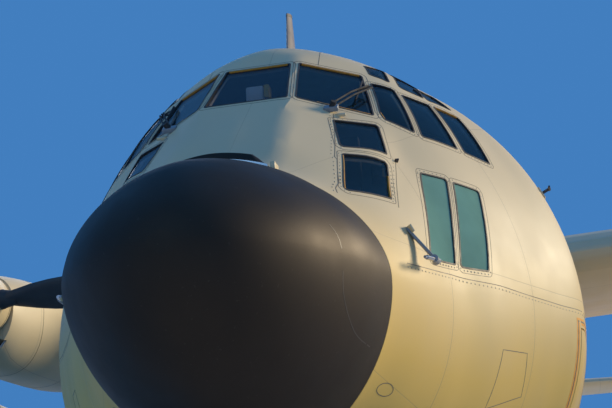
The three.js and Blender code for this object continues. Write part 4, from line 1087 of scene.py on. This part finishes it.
COVER = [(-0.07, -0.012), (-0.064, 0.02), (-0.04, 0.064), (0.02, 0.084), (0.06, 0.08), (0.1, 0.066), (0.1, 0.0)]
EDGE = [(-0.084, -0.012), (-0.084, 0.01), (-0.068, 0.016), (-0.062, -0.01)]
cover = along_joint("cover", COVER, -0.36, 0.34)
small("radome_hinge_cover", RADOME_FINISH, cover, both=False, slot="radome")
small("hinge_cover_edge", STEEL, along_joint("edge", EDGE, -0.25, 0.34, False), both=False)
s, z = joint_spot(0.35)
bracket = block(at(s + 0.01, 0.36, z + 0.02), (0.1, 0.03, 0.05), AHEAD, UP)
small("hinge_bracket", TRIM_PAINT, bracket, both=False)

# Joints and small panels of the nose: their points, and whether rivets run beside them
LINES = {
    "roof_seam": ([(2.609, 0.416, 4.086), (2.957, 0.383, 4.348), (3.6, 0.34, 4.55)], False),
    "brow_joint": ([(2.075, 0.575, 3.466), (1.8, 0.62, 3.2), (1.5, 0.68, 2.95), (1.278, 0.71, 2.68)], True),
    "fin_joint": ([(2.124, 0.958, 3.098), (1.946, 0.969, 2.887), (1.779, 0.991, 2.681)], True),
    "side_joint": (
        [(1.53, 1.02, 2.258), (2.14, 1.251, 2.303), (2.685, 1.536, 2.319), (3.104, 1.745, 2.315),
         (3.629, 2.004, 2.313), (4.2, 2.15, 2.31), (4.88, 2.18, 2.31)], True,
    ),
    "panel": (
        [(2.65, 1.348, 1.503), (2.702, 1.517, 1.886), (3.045, 1.675, 1.9), (3.08, 1.62, 1.6),
         (2.65, 1.348, 1.503)], False,
    ),
    "low_panel": (
        [(1.62, 0.7, 1.15), (1.62, 0.55, 1.02), (1.9, 0.6, 0.98), (1.9, 0.8, 1.12), (1.62, 0.7, 1.15)], False,
    ),
}
LINE_LIFT = 0.0012
LINE_WIDTH = 0.005
LINE_DEPTH = 0.004
RIVETS_BESIDE = 0.024
LINE_RIVET_STEP = 0.05
line_rivets = []
for name, (points, riveted) in LINES.items():
    line = ribbon(f"line_{name}", skin_path(points, LINE_LIFT), LINE_WIDTH, LINE_DEPTH)
    finish_twins(line, True, JOINT_LINE)
    if riveted:
        path = with_side(skin_path(points, 0.0))
        beside = [(co + side * RIVETS_BESIDE * HALF, normal) for co, normal, side in path]
        line_rivets += with_mirrored(spaced(beside, LINE_RIVET_STEP))
finish_piece(dots("joint_rivets", line_rivets), RIVET_PAINT, angle=60)
oval = [(1.66 + 0.07 * c, 0.825 + 0.02 * c, 1.545 + 0.055 * d) for c, d in [*turns(24), (1, 0)]]
oval_line = ribbon("oval", skin_path(oval, LINE_LIFT), LINE_WIDTH, LINE_DEPTH)
small("oval_panel", JOINT_LINE, oval_line, slot="paint")

# Things seen behind the glass
compass = block(at(2.5, -0.04, 3.87), (0.1, 0.13, 0.12), AHEAD, UP)
small("compass_box", INSTRUMENT_WHITE, compass, both=False, slot="interior")
compass = block(at(2.5, 0.05, 3.88), (0.1, 0.04, 0.1), AHEAD, UP)
small("compass_top", YELLOW, compass, both=False, slot="interior")
card = block(at(2.2, 1.0, 2.62), (0.02, 0.16, 0.22), Vector((1, 0.3, 0)), UP, 0.05)
small("side_card", PALE_GREEN, card, slot="interior")

# Light crease of the radome's port side, laid on its skin
radome_surface = BVHTree.FromObject(radome, bpy.context.evaluated_depsgraph_get())
CREASE = [
    (0.62, 0.76, 2.3), (0.677, 0.766, 2.207), (0.747, 0.756, 1.946), (0.97, 0.767, 1.776), (1.22, 0.81, 1.73),
]
CREASE_WIDTH = 0.006
CREASE_LIFT = 0.0008
CREASE_DEPTH = 0.003
crease_path = []
for co in bent(CREASE, 5):
    hit, normal, _, _ = radome_surface.find_nearest(co)
    crease_path.append((hit + normal * CREASE_LIFT * HALF, normal))
crease = ribbon("crease", crease_path, CREASE_WIDTH, CREASE_DEPTH)
small("radome_crease", CREASE_BROWN, crease, both=False, body="radome_body", slot="radome")

# Fuselage behind the nose, with its doors
SIDE_DOOR = {"from": 15.78, "to": 16.69, "sill": 1.05, "top": 2.88}
SIDE_DOOR_GAP = 0.006
MAIN_WELL = {"from": 10.5, "to": 13.78, "inner": 1.64, "top": 1.66}
SIDE_GLASS = [(0.0, 0.0), (0.12, 0.0), (0.125, 0.006), (0.12, 0.01), (0.0, 0.012)]

cabin = shell("cabin_skin", steps(CABIN_JOINT, CABIN_END, 0.5), HOLD_SKIN)
for side, _ in SIDES:
    hole = doorway("cut_side_door", SIDE_DOOR, side * 1.3, side * 2.5, SIDE_DOOR_GAP, SIDE_DOOR_GAP)
    subtract(cabin, hole)
    well_low = (MAIN_WELL["from"], side * MAIN_WELL["inner"], 0.1)
    subtract(cabin, box_piece("cut_main_well", well_low, (MAIN_WELL["to"], side * 2.6, MAIN_WELL["top"])))
finish_piece(cabin, HULL_PAINT, angle=24)
for side, name in SIDES:
    door = shell(f"side_door_skin_{name}", steps(15.6, CABIN_END, 0.2), 0.07)
    shared(door, doorway("keep_door", SIDE_DOOR, side * 1.3, side * 2.5, 0.0, 0.0))
    finish_piece(door, HULL_PAINT, replaced=(f"side_door_{name}",), angle=24)
    window = lathe(f"side_door_glass_{name}", SIDE_GLASS, (16.2, side * 2.16, 2.45), (0, side, 0.05), 32)
    finish_piece(window, GLASS)

RAMP_OUTLINE = [(16.96, 2.2), (16.96, 0.62), (17.17, 0.2), (19.94, 0.2), (19.94, 2.2)]
CARGO_OUTLINE = [(19.97, 1.0), (22.68, 2.1), (22.72, 2.4), (23.02, 2.76), (23.02, 3.0), (19.97, 2.1)]
RAMP_HALF_WIDTH = 1.5
CARGO_HALF_WIDTH = 1.25
DOOR_SKIN = 0.1  # the skins of the ramp and the cargo door are thicker


def slab(name, outline, half, grow=0.0):
    """A plate across the hull with an outline of (station, height), grown by a gap."""
    middle_s = sum(s for s, _ in outline) / len(outline)
    middle_z = sum(z for _, z in outline) / len(outline)
    rings = []
    for y in (-half - grow, half + grow):
        ring = []
        for s, z in outline:
            length = math.hypot(s - middle_s, z - middle_z)
            ring.append(at(s + (s - middle_s) / length * grow, y, z + (z - middle_z) / length * grow))
        rings.append(ring)
    return extruded(name, rings)


rear = shell("rear_skin", steps(CABIN_END, TAIL_JOINT, 0.22), HOLD_SKIN)
subtract(rear, slab("cut_ramp", RAMP_OUTLINE, RAMP_HALF_WIDTH, 0.028))
subtract(rear, slab("cut_cargo_door", CARGO_OUTLINE, CARGO_HALF_WIDTH, 0.024))
subtract(rear, box_piece("cut_between", (19.9, -1.266, 1.0), (20.0, 1.266, 2.1)))
finish_piece(rear, HULL_PAINT, angle=24)
ramp = shell("ramp_skin", steps(16.9, 20.06, 0.2), DOOR_SKIN)
shared(ramp, slab("keep_ramp", RAMP_OUTLINE, RAMP_HALF_WIDTH))
finish_piece(ramp, HULL_PAINT, "ramp_body", angle=24)
cargo = shell("cargo_door_skin", steps(19.86, 23.2, 0.2), DOOR_SKIN)
shared(cargo, slab("keep_cargo", CARGO_OUTLINE, CARGO_HALF_WIDTH))
finish_piece(cargo, HULL_PAINT, "cargo_door_body", angle=24)
tail = extruded("tail_cone_skin", [hull_ring(s) for s in steps(TAIL_JOINT + 0.002, 28.7, 0.3)])
finish_piece(tail, HULL_PAINT, replaced=("tail_cone",), angle=24)

# Crew door, cut from the same skin, with steps inside and an orange double outline
door = shell("crew_door_skin", steps(3.7, 4.8, 0.08), 0.09)
shared(door, doorway("keep_crew_door", CREW_DOOR, 1.2, 2.6, 0.0, -0.015))
finish_piece(door, HULL_PAINT, "crew_door_body", replaced=("crew_door",), angle=24)
line_inside(door, HULL_PAINT, LINER)
for index, z in enumerate((1.3, 1.58, 1.86)):
    tread = box_piece(f"crew_door_step_{index}", (3.94, 1.66 + index * 0.04, z), (4.5, 1.88, z + 0.04))
    finish_piece(bevelled(tread, 0.004), DARK_METAL, "crew_door_body")


def outline_band(name, spread, width, material):
    """A painted band on the skin round the crew door."""
    front, back = CREW_DOOR["from"] - spread, CREW_DOOR["to"] + spread
    low, high = CREW_DOOR["sill"] - spread, CREW_DOOR["top"] + spread
    sides = (
        ((front, low), (front, high)),
        ((front - width / 2, high), (back + width / 2, high)),
        ((back, high), (back, low)),
        ((back, low), (front, low)),
    )
    count = 14
    strips = []
    for first, last in sides:
        path = []
        for i in range(count + 1):
            s = first[0] + (last[0] - first[0]) * i / count
            z = first[1] + (last[1] - first[1]) * i / count
            hit, normal, _, _ = surface.ray_cast(at(s, 4, z), -PORT)
            path.append((hit + normal * LINE_LIFT * HALF, normal))
        strips.append(ribbon("strip", path, width, LINE_DEPTH))
    finish_piece(joined(name, strips), material)


outline_band("crew_door_line_outer", 0.074, 0.016, ORANGE)
outline_band("crew_door_line_middle", 0.058, 0.01, JOINT_LINE)
outline_band("crew_door_line_inner", 0.042, 0.016, ORANGE)

# Radar dish with its feed, seen when the radome is open
DISH = [
    (0.0, 0.12), (0.1, 0.112), (0.2, 0.088), (0.3, 0.05), (0.395, 0.0), (0.402, 0.006), (0.4, 0.016), (0.3, 0.075),
    (0.2, 0.12), (0.1, 0.15), (0.09, 0.22), (0.09, 0.32), (0.0, 0.32),
]
FEED = [(0.0, 0.0), (0.035, 0.0), (0.04, 0.01), (0.04, 0.03), (0.018, 0.045), (0.014, 0.2), (0.0, 0.2)]
dish = joined(
    "radar_dish_skin",
    [lathe("dish", DISH, (0.98, 0, 1.95), -AHEAD, 56), lathe("feed", FEED, (0.93, 0, 1.95), -AHEAD, 24)],
)
finish_piece(dish, GREY_PAINT, replaced=("radar_dish",), angle=30)

# Nodes whose own shape shows, merged and smoothed
for node in (
    "wing_center", "wing_left", "wing_right", "flap_inner_left", "flap_inner_right", "flap_outer_left",
    "flap_outer_right", "aileron_left", "aileron_right", "stabilizer", "elevator_left", "elevator_right", "fin",
    "rudder",
):
    dressed(node, WING_PAINT)
for node in ("main_gear_leg_left", "main_gear_leg_right", "nose_gear_leg", "nose_gear_fork"):
    dressed(node, GEAR_PAINT, 35)

# Propellers
WING_Z = 4.26
DIHEDRAL = math.tan(math.radians(2.5))
ENGINES = {"inner": 5.02, "outer": 10.2}
ENGINE_DROP = 0.5
PROP_STATION = 8.04
PROP_BACK = 8.3
BLADE_COUNT = 4

# radius, chord, thickness, pitch in degrees from the propeller's plane
BLADE_SECTIONS = [
    (0.3, 0.16, 0.16, 62),
    (0.45, 0.19, 0.14, 57),
    (0.6, 0.27, 0.12, 52),
    (0.82, 0.36, 0.095, 45),
    (1.05, 0.41, 0.075, 38),
    (1.32, 0.44, 0.06, 33),
    (1.6, 0.45, 0.047, 28),
    (1.9, 0.43, 0.035, 24),
    (2.02, 0.4, 0.03, 22.5),
    (2.05, 0.3, 0.018, 22),
]
SPINNER = [
    (0.0, 0.0), (0.4, 0.0), (0.41, 0.02), (0.41, 0.3), (0.402, 0.38), (0.38, 0.48), (0.345, 0.58), (0.29, 0.68),
    (0.22, 0.76), (0.13, 0.825), (0.06, 0.85), (0.0, 0.858),
]


def blade_ring(radius, chord, thickness, pitch, turn, y, z):
    """One section of a blade: a rounded aerofoil set at its pitch."""
    p = math.radians(pitch)
    ring = []
    for c, d in turns(20):
        along = 0.5 * c
        out = 0.5 * d * (1 + 0.35 * c) * (1.25 if d > 0 else 0.5)
        across = along * chord * math.cos(p) - out * thickness * math.sin(p)
        ahead = along * chord * math.sin(p) + out * thickness * math.cos(p)
        port = radius * math.cos(turn) - across * math.sin(turn)
        high = radius * math.sin(turn) + across * math.cos(turn)
        ring.append(at(PROP_STATION - ahead, y + port, z + high))
    return ring


SPINNER_JOINT = [(0.4105, 0.04), (0.413, 0.045), (0.4105, 0.05)]
# Sections of the yellow tips, a little over the blade's, and of the round cuffs: (radius, half thickness)
TIP_SECTIONS = [(1.88, 0.433, 0.036, 24.2), *BLADE_SECTIONS[-3:]]
CUFF_SECTIONS = [(0.3, 0.125), (0.42, 0.125), (0.44, 0.115), (0.6, 0.085)]


def shaft_height(y):
    """Height of an engine's shaft at its distance from the middle."""
    return WING_Z + abs(y) * DIHEDRAL - ENGINE_DROP


def propeller(name, y):
    z = shaft_height(y)
    body = f"propeller_{name}_body"
    blades = []
    tips = []
    for index in range(BLADE_COUNT):
        turn = 2 * math.pi * index / BLADE_COUNT
        c, d = math.cos(turn), math.sin(turn)
        blades.append(extruded("blade", [blade_ring(*section, turn, y, z) for section in BLADE_SECTIONS]))
        cuff = [
            turned_ring(at(PROP_STATION, y + r * c, z + r * d), Vector((0, c, d)), size * HALF, 20)
            for r, size in CUFF_SECTIONS
        ]
        blades.append(extruded("cuff", cuff))
        grown = [
            blade_ring(radius, chord * 1.01, thickness * 1.06, pitch, turn, y, z)
            for radius, chord, thickness, pitch in TIP_SECTIONS
        ]
        tips.append(extruded("tip", grown))
    finish_piece(joined(f"propeller_blades_{name}", blades), BLADE_BLACK, body, angle=40)
    finish_piece(joined(f"propeller_tips_{name}", tips), YELLOW, body, angle=40)
    back = (PROP_BACK, y, z)
    spinner = lathe(f"spinner_{name}", SPINNER, back, AHEAD)
    finish_piece(spinner, TRIM_PAINT, body, (f"propeller_{name}",), 30)
    line = lathe(f"spinner_joint_{name}", SPINNER_JOINT, back, AHEAD, closed=False)
    finish_piece(line, JOINT_LINE, body)


# station, half width, top and bottom about the shaft, roundness
NACELLE = [
    (8.32, 0.42, 0.41, -0.60, 2.2),
    (8.60, 0.50, 0.46, -0.76, 2.3),
    (9.30, 0.59, 0.52, -0.80, 2.4),
    (10.4, 0.62, 0.54, -0.78, 2.4),
    (11.6, 0.58, 0.46, -0.66, 2.3),
    (12.8, 0.46, 0.36, -0.46, 2.2),
    (13.7, 0.30, 0.24, -0.24, 2.0),
]
# The intake's outline, about the shaft: (across, up), narrowed towards its middle further in
INTAKE = [
    (0.3, -0.46), (0.24, -0.53), (0.12, -0.575), (-0.12, -0.575), (-0.24, -0.53), (-0.3, -0.46), (-0.2, -0.42),
    (0.2, -0.42),
]
INTAKE_MIDDLE = -0.49
EXHAUST = [(0.25, -0.1), (0.245, -0.9), (0.235, -1.15), (0.225, -1.2), (0.205, -1.2), (0.2, -0.8), (0.0, -0.6)]
SHAFT_PLATE = [(0.0, 0.0), (0.39, 0.0), (0.39, 0.012), (0.0, 0.012)]


def nacelle_ring(s, y, z):
    half, top, bottom, power = (column(c, s, NACELLE) for c in range(1, 5))
    return [
        at(s, y + signed_power(c, 2 / power) * half, z + abs(d) ** (2 / power) * (top if d > 0 else bottom))
        for c, d in turns(48)
    ]


def intake_rings(y, z, sections):
    """The intake's outline at several (station, size) sections."""
    return [
        [at(s, y + across * size, z + INTAKE_MIDDLE + (up - INTAKE_MIDDLE) * size) for across, up in INTAKE]
        for s, size in sections
    ]


def nacelle(name, y):
    z = shaft_height(y)
    body = extruded(f"nacelle_skin_{name}", [nacelle_ring(s, y, z) for s in steps(8.32, 13.7, 0.22)])
    subtract(body, extruded("cut_intake", intake_rings(y, z, ((8.2, 1.0), (8.4, 0.97), (8.75, 0.8)))))
    subtract(body, lathe("cut_exhaust", [(0.2, 0.0), (0.19, 0.6)], (14.1, y, z), AHEAD, 32))
    finish_piece(body, WING_PAINT, replaced=(f"nacelle_{name}",), angle=32)
    weighted(body)
    throat = extruded(f"intake_throat_{name}", intake_rings(y, z, ((8.62, 0.865), (8.76, 0.8))))
    finish_piece(throat, DARK_METAL)
    lip = intake_rings(y, z, ((8.318, 1.0), (8.306, 1.035), (8.318, 1.07), (8.345, 1.08)))
    finish_piece(extruded(f"intake_lip_{name}", lip, False, False), STEEL, angle=50)
    pipe = lathe(f"exhaust_{name}", EXHAUST, (12.7, y, z - 0.01), (1, 0, 0.02), 40, False)
    finish_piece(pipe, BURNT, angle=35)
    plate = lathe(f"shaft_plate_{name}", SHAFT_PLATE, (8.32, y, z), AHEAD, 40)
    finish_piece(plate, DARK_METAL, angle=35)
    for s in (8.95, 10.1, 11.3, 12.6):
        middle = at(s, y, z)
        band = [nacelle_ring(s + d, y, z) for d in (-0.004, -0.003, 0.003, 0.004)]
        for ring, lift in zip(band, (1.0, 1.0022, 1.0022, 1.0)):
            for co in ring:
                co.yz = ((co - middle) * lift + middle).yz
        finish_piece(extruded(f"nacelle_joint_{s:.0f}_{name}", band, False, False), JOINT_LINE)


for place, y in ENGINES.items():
    for side, name in SIDES:
        propeller(f"{place}_{name}", side * y)
        nacelle(f"{place}_{name}", side * y)

# External tanks on pylons
TANK = {"y": 7.62, "z": 3.1, "from": 8.7}
TANK_PROFILE = [
    (0.0, 0.0), (0.05, 0.012), (0.12, 0.06), (0.22, 0.17), (0.32, 0.35), (0.41, 0.6), (0.48, 0.9), (0.525, 1.25),
    (0.548, 1.6), (0.552, 2.0), (0.552, 4.9), (0.54, 5.3), (0.51, 5.8), (0.46, 6.3), (0.38, 6.8), (0.28, 7.2),
    (0.17, 7.48), (0.1, 7.63), (0.0, 7.7),
]
PYLON = [(3.3, 10.3, 13.5), (3.7, 10.38, 13.46), (4.5, 10.6, 13.4)]  # height, from, to
PYLON_SECTION = [(0.0, 0.0), (0.03, 0.55), (0.1, 0.85), (0.25, 1.0), (0.6, 1.0), (0.85, 0.5), (1.0, 0.1)]
for side, name in SIDES:
    tank_nose = (TANK["from"], side * TANK["y"], TANK["z"])
    tank = lathe(f"tank_{name}", TANK_PROFILE, tank_nose, -AHEAD)
    finish_piece(tank, WING_PAINT, replaced=(f"fuel_tank_{name}",))
    outline = [*PYLON_SECTION, *((u, -v) for u, v in reversed(PYLON_SECTION[1:]))]
    rings = []
    for z, first, last in PYLON:
        rings.append([at(first + (last - first) * u, side * TANK["y"] + 0.1 * v, z) for u, v in outline])
    finish_piece(extruded(f"pylon_{name}", rings), WING_PAINT)
    for k, d in enumerate((1.65, 4.85)):
        profile = [(0.551, d - 0.005), (0.556, d), (0.551, d + 0.005)]
        finish_piece(lathe(f"tank_joint_{k}_{name}", profile, tank_nose, -AHEAD, closed=False), JOINT_LINE)

# Gear fairings on the cabin's sides, with the lining of their wells and a lamp
# station, outer half width, height of the middle, half height
FAIRING = [
    (9.1, 0.3, 1.3, 0.2), (9.5, 0.55, 1.28, 0.48), (10.2, 0.78, 1.25, 0.7), (11.2, 0.87, 1.23, 0.78),
    (13.8, 0.87, 1.23, 0.78), (14.6, 0.72, 1.28, 0.64), (15.3, 0.42, 1.38, 0.34), (15.65, 0.22, 1.42, 0.12),
]
FAIRING_Y = 1.78
TAXI_LAMP = [(0.0, 0.0), (0.09, 0.0), (0.1, -0.02), (0.1, -0.08)]
for side, name in SIDES:
    rings = []
    for s in steps(9.1, 15.65, 0.16):
        half, middle, high = (column(c, s, FAIRING) for c in range(1, 4))
        ring = []
        for c, d in turns(48):
            across = signed_power(c, 0.8) * half
            ring.append(at(s, side * (FAIRING_Y + across), middle + signed_power(d, 0.72) * high))
        rings.append(ring)
    fairing = extruded(f"fairing_skin_{name}", rings)
    well_low = (MAIN_WELL["from"], side * 1.2, 0.0)
    subtract(fairing, box_piece("cut_well", well_low, (MAIN_WELL["to"], side * 2.52, MAIN_WELL["top"])))
    finish_piece(fairing, HULL_PAINT, replaced=(f"gear_fairing_{name}",))
    weighted(fairing)
    lining_low = (10.44, side * 1.66, MAIN_WELL["top"] + 0.002)
    lining = box_piece(f"well_lining_{name}", lining_low, (13.8, side * 2.5, MAIN_WELL["top"] + 0.03))
    finish_piece(lining, LINER)
    lamp = lathe(f"taxi_lamp_{name}", TAXI_LAMP, (9.5, side * 2.12, 1.32), (1, side * 0.4, 0), 24)
    finish_piece(lamp, STEEL)

# Wheels: profiles of (radius, distance along the axle) as parts of the tyre's radius and half width
TYRE = [
    (0.5, -0.3), (0.5, -0.74), (0.56, -0.86), (0.66, -0.95), (0.78, -1.0), (0.88, -0.97), (0.945, -0.86),
    (0.975, -0.7), (0.985, -0.56), (0.97, -0.54), (0.97, -0.5), (0.991, -0.48), (0.996, -0.2), (0.978, -0.18),
    (0.978, -0.13), (0.998, -0.11),
]
RIM = [
    (0.0, -0.8), (0.1, -0.79), (0.14, -0.72), (0.17, -0.6), (0.3, -0.58), (0.44, -0.7), (0.505, -0.8), (0.52, -0.74),
]
BOLT_CIRCLE = 0.37
BOLT_PLANE = 0.645


def tyre(name, centre, radius, width, body, replaced):
    """A tyre with grooves round its tread, its rim with a hub cap, and the rim's bolts."""
    half = width / 2
    outline, rim = (
        [(r * radius, d * half) for r, d in [*profile, *((r, -d) for r, d in reversed(profile))]]
        for profile in (TYRE, RIM)
    )
    finish_piece(lathe(name, outline, centre, PORT, 64), RUBBER, body, replaced, 40)
    finish_piece(lathe(f"{name}_rim", rim, centre, PORT), GEAR_PAINT, body)
    s, y, z = centre
    reach = radius * BOLT_CIRCLE
    spots = [
        (at(s - reach * c, y + side * half * BOLT_PLANE, z + reach * d), PORT * side)
        for side, _ in SIDES
        for c, d in turns(10)
    ]
    finish_piece(dots(f"{name}_bolts", spots, 0.016, 0.02), STEEL, body, angle=40)


# Stations, distance from the middle, radius and width; the wheels stand on the floor
MAIN_WHEELS = {"front": 11.38, "rear": 12.9}
MAIN_WHEEL_Y, MAIN_TYRE, MAIN_WIDTH = 2.175, 0.71, 0.51
NOSE_WHEEL, NOSE_WHEEL_Y, NOSE_TYRE, NOSE_WIDTH = 2.37, 0.28, 0.495, 0.33
for place, s in MAIN_WHEELS.items():
    for side, name in SIDES:
        node = f"main_wheel_{place}_{name}"
        centre = (s, side * MAIN_WHEEL_Y, MAIN_TYRE)
        tyre(f"main_tyre_{place}_{name}", centre, MAIN_TYRE, MAIN_WIDTH, f"{node}_body", (node,))
for side, name in SIDES:
    centre = (NOSE_WHEEL, side * NOSE_WHEEL_Y, NOSE_TYRE)
    replaced = ("nose_wheels",) if side > 0 else ()
    tyre(f"nose_tyre_{name}", centre, NOSE_TYRE, NOSE_WIDTH, "nose_wheels_body", replaced)
axle = tube("nose_axle", [at(NOSE_WHEEL, y, NOSE_TYRE) for y in (-0.34, 0.34)], 0.05, 20)
finish_piece(axle, STEEL, "nose_wheels_body")

# Round windows in the cabin and the rear: station, height
ROUND_WINDOWS = [(5.95, 2.78), (7.7, 2.78), (14.75, 2.78), (17.7, 2.95)]
ROUND_RIM = [(0.15, -0.01), (0.2, -0.01), (0.2, 0.004), (0.19, 0.009), (0.16, 0.009), (0.15, 0.004)]
ROUND_GLASS = [(0.0, 0.004), (0.156, 0.004), (0.156, -0.012), (0.0, -0.012)]
for s, z in ROUND_WINDOWS:
    half, wide, top = (column(c, s) for c in range(1, 4))
    v = (z - wide) / (top - wide)
    y = (half + SKIN_LIFT) * math.sqrt(max(1 - v * v, 0))
    slope = v / (top - wide) / (y / half / half)
    for side, name in SIDES:
        place = (s, side * y, z)
        out = (0, side, slope)
        rim = lathe(f"round_window_rim_{s:.0f}_{name}", ROUND_RIM, place, out, 40, False)
        finish_piece(rim, TRIM_PAINT)
        glass = lathe(f"round_window_{s:.0f}_{name}", ROUND_GLASS, place, out, 40)
        finish_piece(glass, GLASS)

# Lights, blade aerials and discharge wicks
RED_LAMP = plain("red_lamp", (0.6, 0.02, 0.015), 0.2, grain=20.0, bump=0)
GREEN_LAMP = plain("green_lamp", (0.02, 0.4, 0.1), 0.2, grain=20.0, bump=0)
CLEAR_LAMP = plain("clear_lamp", (0.75, 0.78, 0.78), 0.12, grain=20.0, bump=0)
DOME = [
    (0.0, 0.08), (0.03, 0.076), (0.055, 0.062), (0.07, 0.04), (0.075, 0.01), (0.08, 0.0), (0.08, -0.02),
    (0.0, -0.02),
]
TIP_Z = WING_Z + 20.1 * DIHEDRAL
DOMES = {
    "tip_lamp_left": ((11.6, 20.12, TIP_Z + 0.05), (0.6, 1, 0), RED_LAMP),
    "tip_lamp_right": ((11.6, -20.12, TIP_Z + 0.05), (0.6, -1, 0), GREEN_LAMP),
    "fin_beacon": ((28.2, 0.0, 11.65), (0, 0, 1), RED_LAMP),
    "belly_beacon": ((8.2, 0.0, 0.455), (0, 0, -1), RED_LAMP),
    "tail_lamp": ((28.68, 0.0, 4.32), (-1, 0, 0), CLEAR_LAMP),
    "roof_lamp": ((6.4, 0.0, 4.605), (0, 0, 1), CLEAR_LAMP),
}
for name, (centre, towards, material) in DOMES.items():
    finish_piece(lathe(name, DOME, centre, towards, 24), material, angle=40)
# station, height of the foot, height of the blade, downward below the belly
BLADE_AERIALS = [(5.4, 4.6, 0.32), (9.3, 4.66, 0.26), (6.2, 0.46, -0.3), (15.4, 0.46, -0.26)]
for k, (s, z, high) in enumerate(BLADE_AERIALS):
    foot = z - 0.03 * math.copysign(1, high)
    rings = []
    for part, chord in ((0.0, 0.34), (0.5, 0.28), (1.0, 0.18)):
        ring = []
        for c, d in turns(16):
            u = 0.5 - 0.5 * c
            ring.append(at(s + u * chord + part * 0.1, 0.014 * d, foot + high * part))
        rings.append(ring)
    finish_piece(extruded(f"blade_aerial_{k}", rings), TRIM_PAINT, angle=40)

# The outer wing at its root and at its tip: distance from the middle, station of the leading edge, chord
WING_ROOT = (5.43, 10.36, 4.88)
WING_TIP = (20.205, 10.8, 2.52)
WICK_RADIUS = 0.008


def wick(s, y, z, length):
    return tube("wick", [at(s - 0.03, y, z), at(s - 0.03 + length, y, z)], WICK_RADIUS, 6)


wicks = []
for side, _ in SIDES:
    for y in (19.6, 19.8, 20.0):
        share = (y - WING_ROOT[0]) / (WING_TIP[0] - WING_ROOT[0])
        edge = sum(a + share * (b - a) for a, b in zip(WING_ROOT[1:], WING_TIP[1:]))
        wicks.append(wick(edge, side * y, WING_Z + y * DIHEDRAL, 0.19))
    for y in (7.7, 7.85):
        wicks.append(wick(27.85, side * y, 4.62, 0.2))
finish_piece(joined("discharge_wicks", wicks), DARK_METAL)

# Details of the nose gear: doors at the well's sides and a torque link on the steered leg
GEAR_DOOR = [  # station, height
    (2.5, 0.95), (2.5, 0.74), (2.54, 0.67), (2.62, 0.64), (3.0, 0.64), (3.08, 0.67), (3.12, 0.74), (3.14, 0.95),
]
LEG_LAMP = [(0.0, 0.0), (0.08, 0.0), (0.085, -0.015), (0.07, -0.07), (0.0, -0.08)]
for side, name in SIDES:
    plate = [[at(s, side * (0.7 + 0.1 * (0.95 - z) + y), z) for s, z in GEAR_DOOR] for y in (0.0, 0.02)]
    finish_piece(bevelled(extruded(f"nose_gear_door_{name}", plate), 0.003), HULL_PAINT, angle=40)
    lamp = lathe(f"leg_lamp_{name}", LEG_LAMP, (2.26, side * 0.15, 1.25), AHEAD, 24)
    finish_piece(lamp, CLEAR_LAMP)
links = [
    block(at(2.5, 0, 1.0), (0.24, 0.08, 0.03), Vector((-0.7, 0, -0.7)), Vector((-1, 0, 1)), 0.3),
    block(at(2.5, 0, 0.82), (0.24, 0.08, 0.03), Vector((0.7, 0, -0.7)), Vector((-1, 0, -1)), 0.3),
]
finish_piece(joined("torque_link", links), STEEL, "nose_steering_body")

# Finishes of the nodes that stay
NODE_FINISH = {
    "paint": HULL_PAINT, "tail_skin": WING_PAINT, "radome": RADOME_FINISH, "metal": GEAR_PAINT,
    "blade": BLADE_BLACK, "tyre": RUBBER, "interior": LINER,
}
for name, node in NODES.items():
    node.data.materials.clear()
    inner = name in ("cabin_section", "rear_section", "ramp", "cargo_door")
    node.data.materials.append(HOLD_FLOOR if inner else NODE_FINISH[SLOT_OF[name]])

# Floor, light and camera
FLOOR_SIZE = 900
bpy.ops.mesh.primitive_plane_add(size=FLOOR_SIZE, location=(0, 0, 0))
floor = start("floor")
floor.data.materials.append(plain("pale_floor", (0.72, 0.71, 0.69), 0.75, grain=0.5, spread=0.02, bump=0))


def lamp_object(name, kind, power, colour, towards):
    """A light of a kind that looks along a direction."""
    data = bpy.data.lights.new(name, kind)
    data.energy = power
    data.color = colour
    light = bpy.data.objects.new(name, data)
    bpy.context.scene.collection.objects.link(light)
    light.rotation_euler = Vector(towards).to_track_quat("-Z", "Y").to_euler()
    return light


def area_light(name, place, target, size, power, colour):
    light = lamp_object(name, "AREA", power, colour, Vector(target) - Vector(place))
    light.location = place
    light.data.shape = "DISK"
    light.data.size = size


sun = lamp_object("key_light", "SUN", 3.6, (1.0, 0.83, 0.56), (0.48, -0.82, -0.34))
sun.data.angle = math.radians(17)
area_light("front_light", (26, -6, 12), (6, 0, 1.5), 14, 420, (0.5, 0.76, 1.0))
area_light("back_light", (-26, -8, 16), (-3, 0, 2), 16, 900, (0.9, 0.95, 1.0))

world = bpy.data.worlds.new("studio")
bpy.context.scene.world = world
world.use_nodes = True
sky = world.node_tree.nodes["Background"]
sky.inputs["Color"].default_value = (0.1, 0.38, 0.94, 1)
sky.inputs["Strength"].default_value = 0.55

SENSOR_WIDTH = 36
camera_data = bpy.data.cameras.new("photo_camera")
camera_data.sensor_width = SENSOR_WIDTH
camera_data.lens = SENSOR_WIDTH * CAMERA_FOCUS
camera_data.clip_end = 400
camera = bpy.data.objects.new("photo_camera", camera_data)
bpy.context.scene.collection.objects.link(camera)
flat = Vector((math.cos(CAMERA_HEADING), math.sin(CAMERA_HEADING), 0))
ahead = -flat * math.cos(CAMERA_PITCH) + UP * math.sin(CAMERA_PITCH)
level = Vector((-math.sin(CAMERA_HEADING), math.cos(CAMERA_HEADING), 0))
up = level.cross(ahead)
right = level * math.cos(CAMERA_ROLL) + up * math.sin(CAMERA_ROLL)
upright = up * math.cos(CAMERA_ROLL) - level * math.sin(CAMERA_ROLL)
turn = Matrix((right, upright, -ahead)).transposed().to_4x4()
camera.matrix_world = Matrix.Translation(at(*CAMERA_AT)) @ turn
bpy.context.scene.camera = camera
bpy.context.scene.view_settings.view_transform = "Standard"
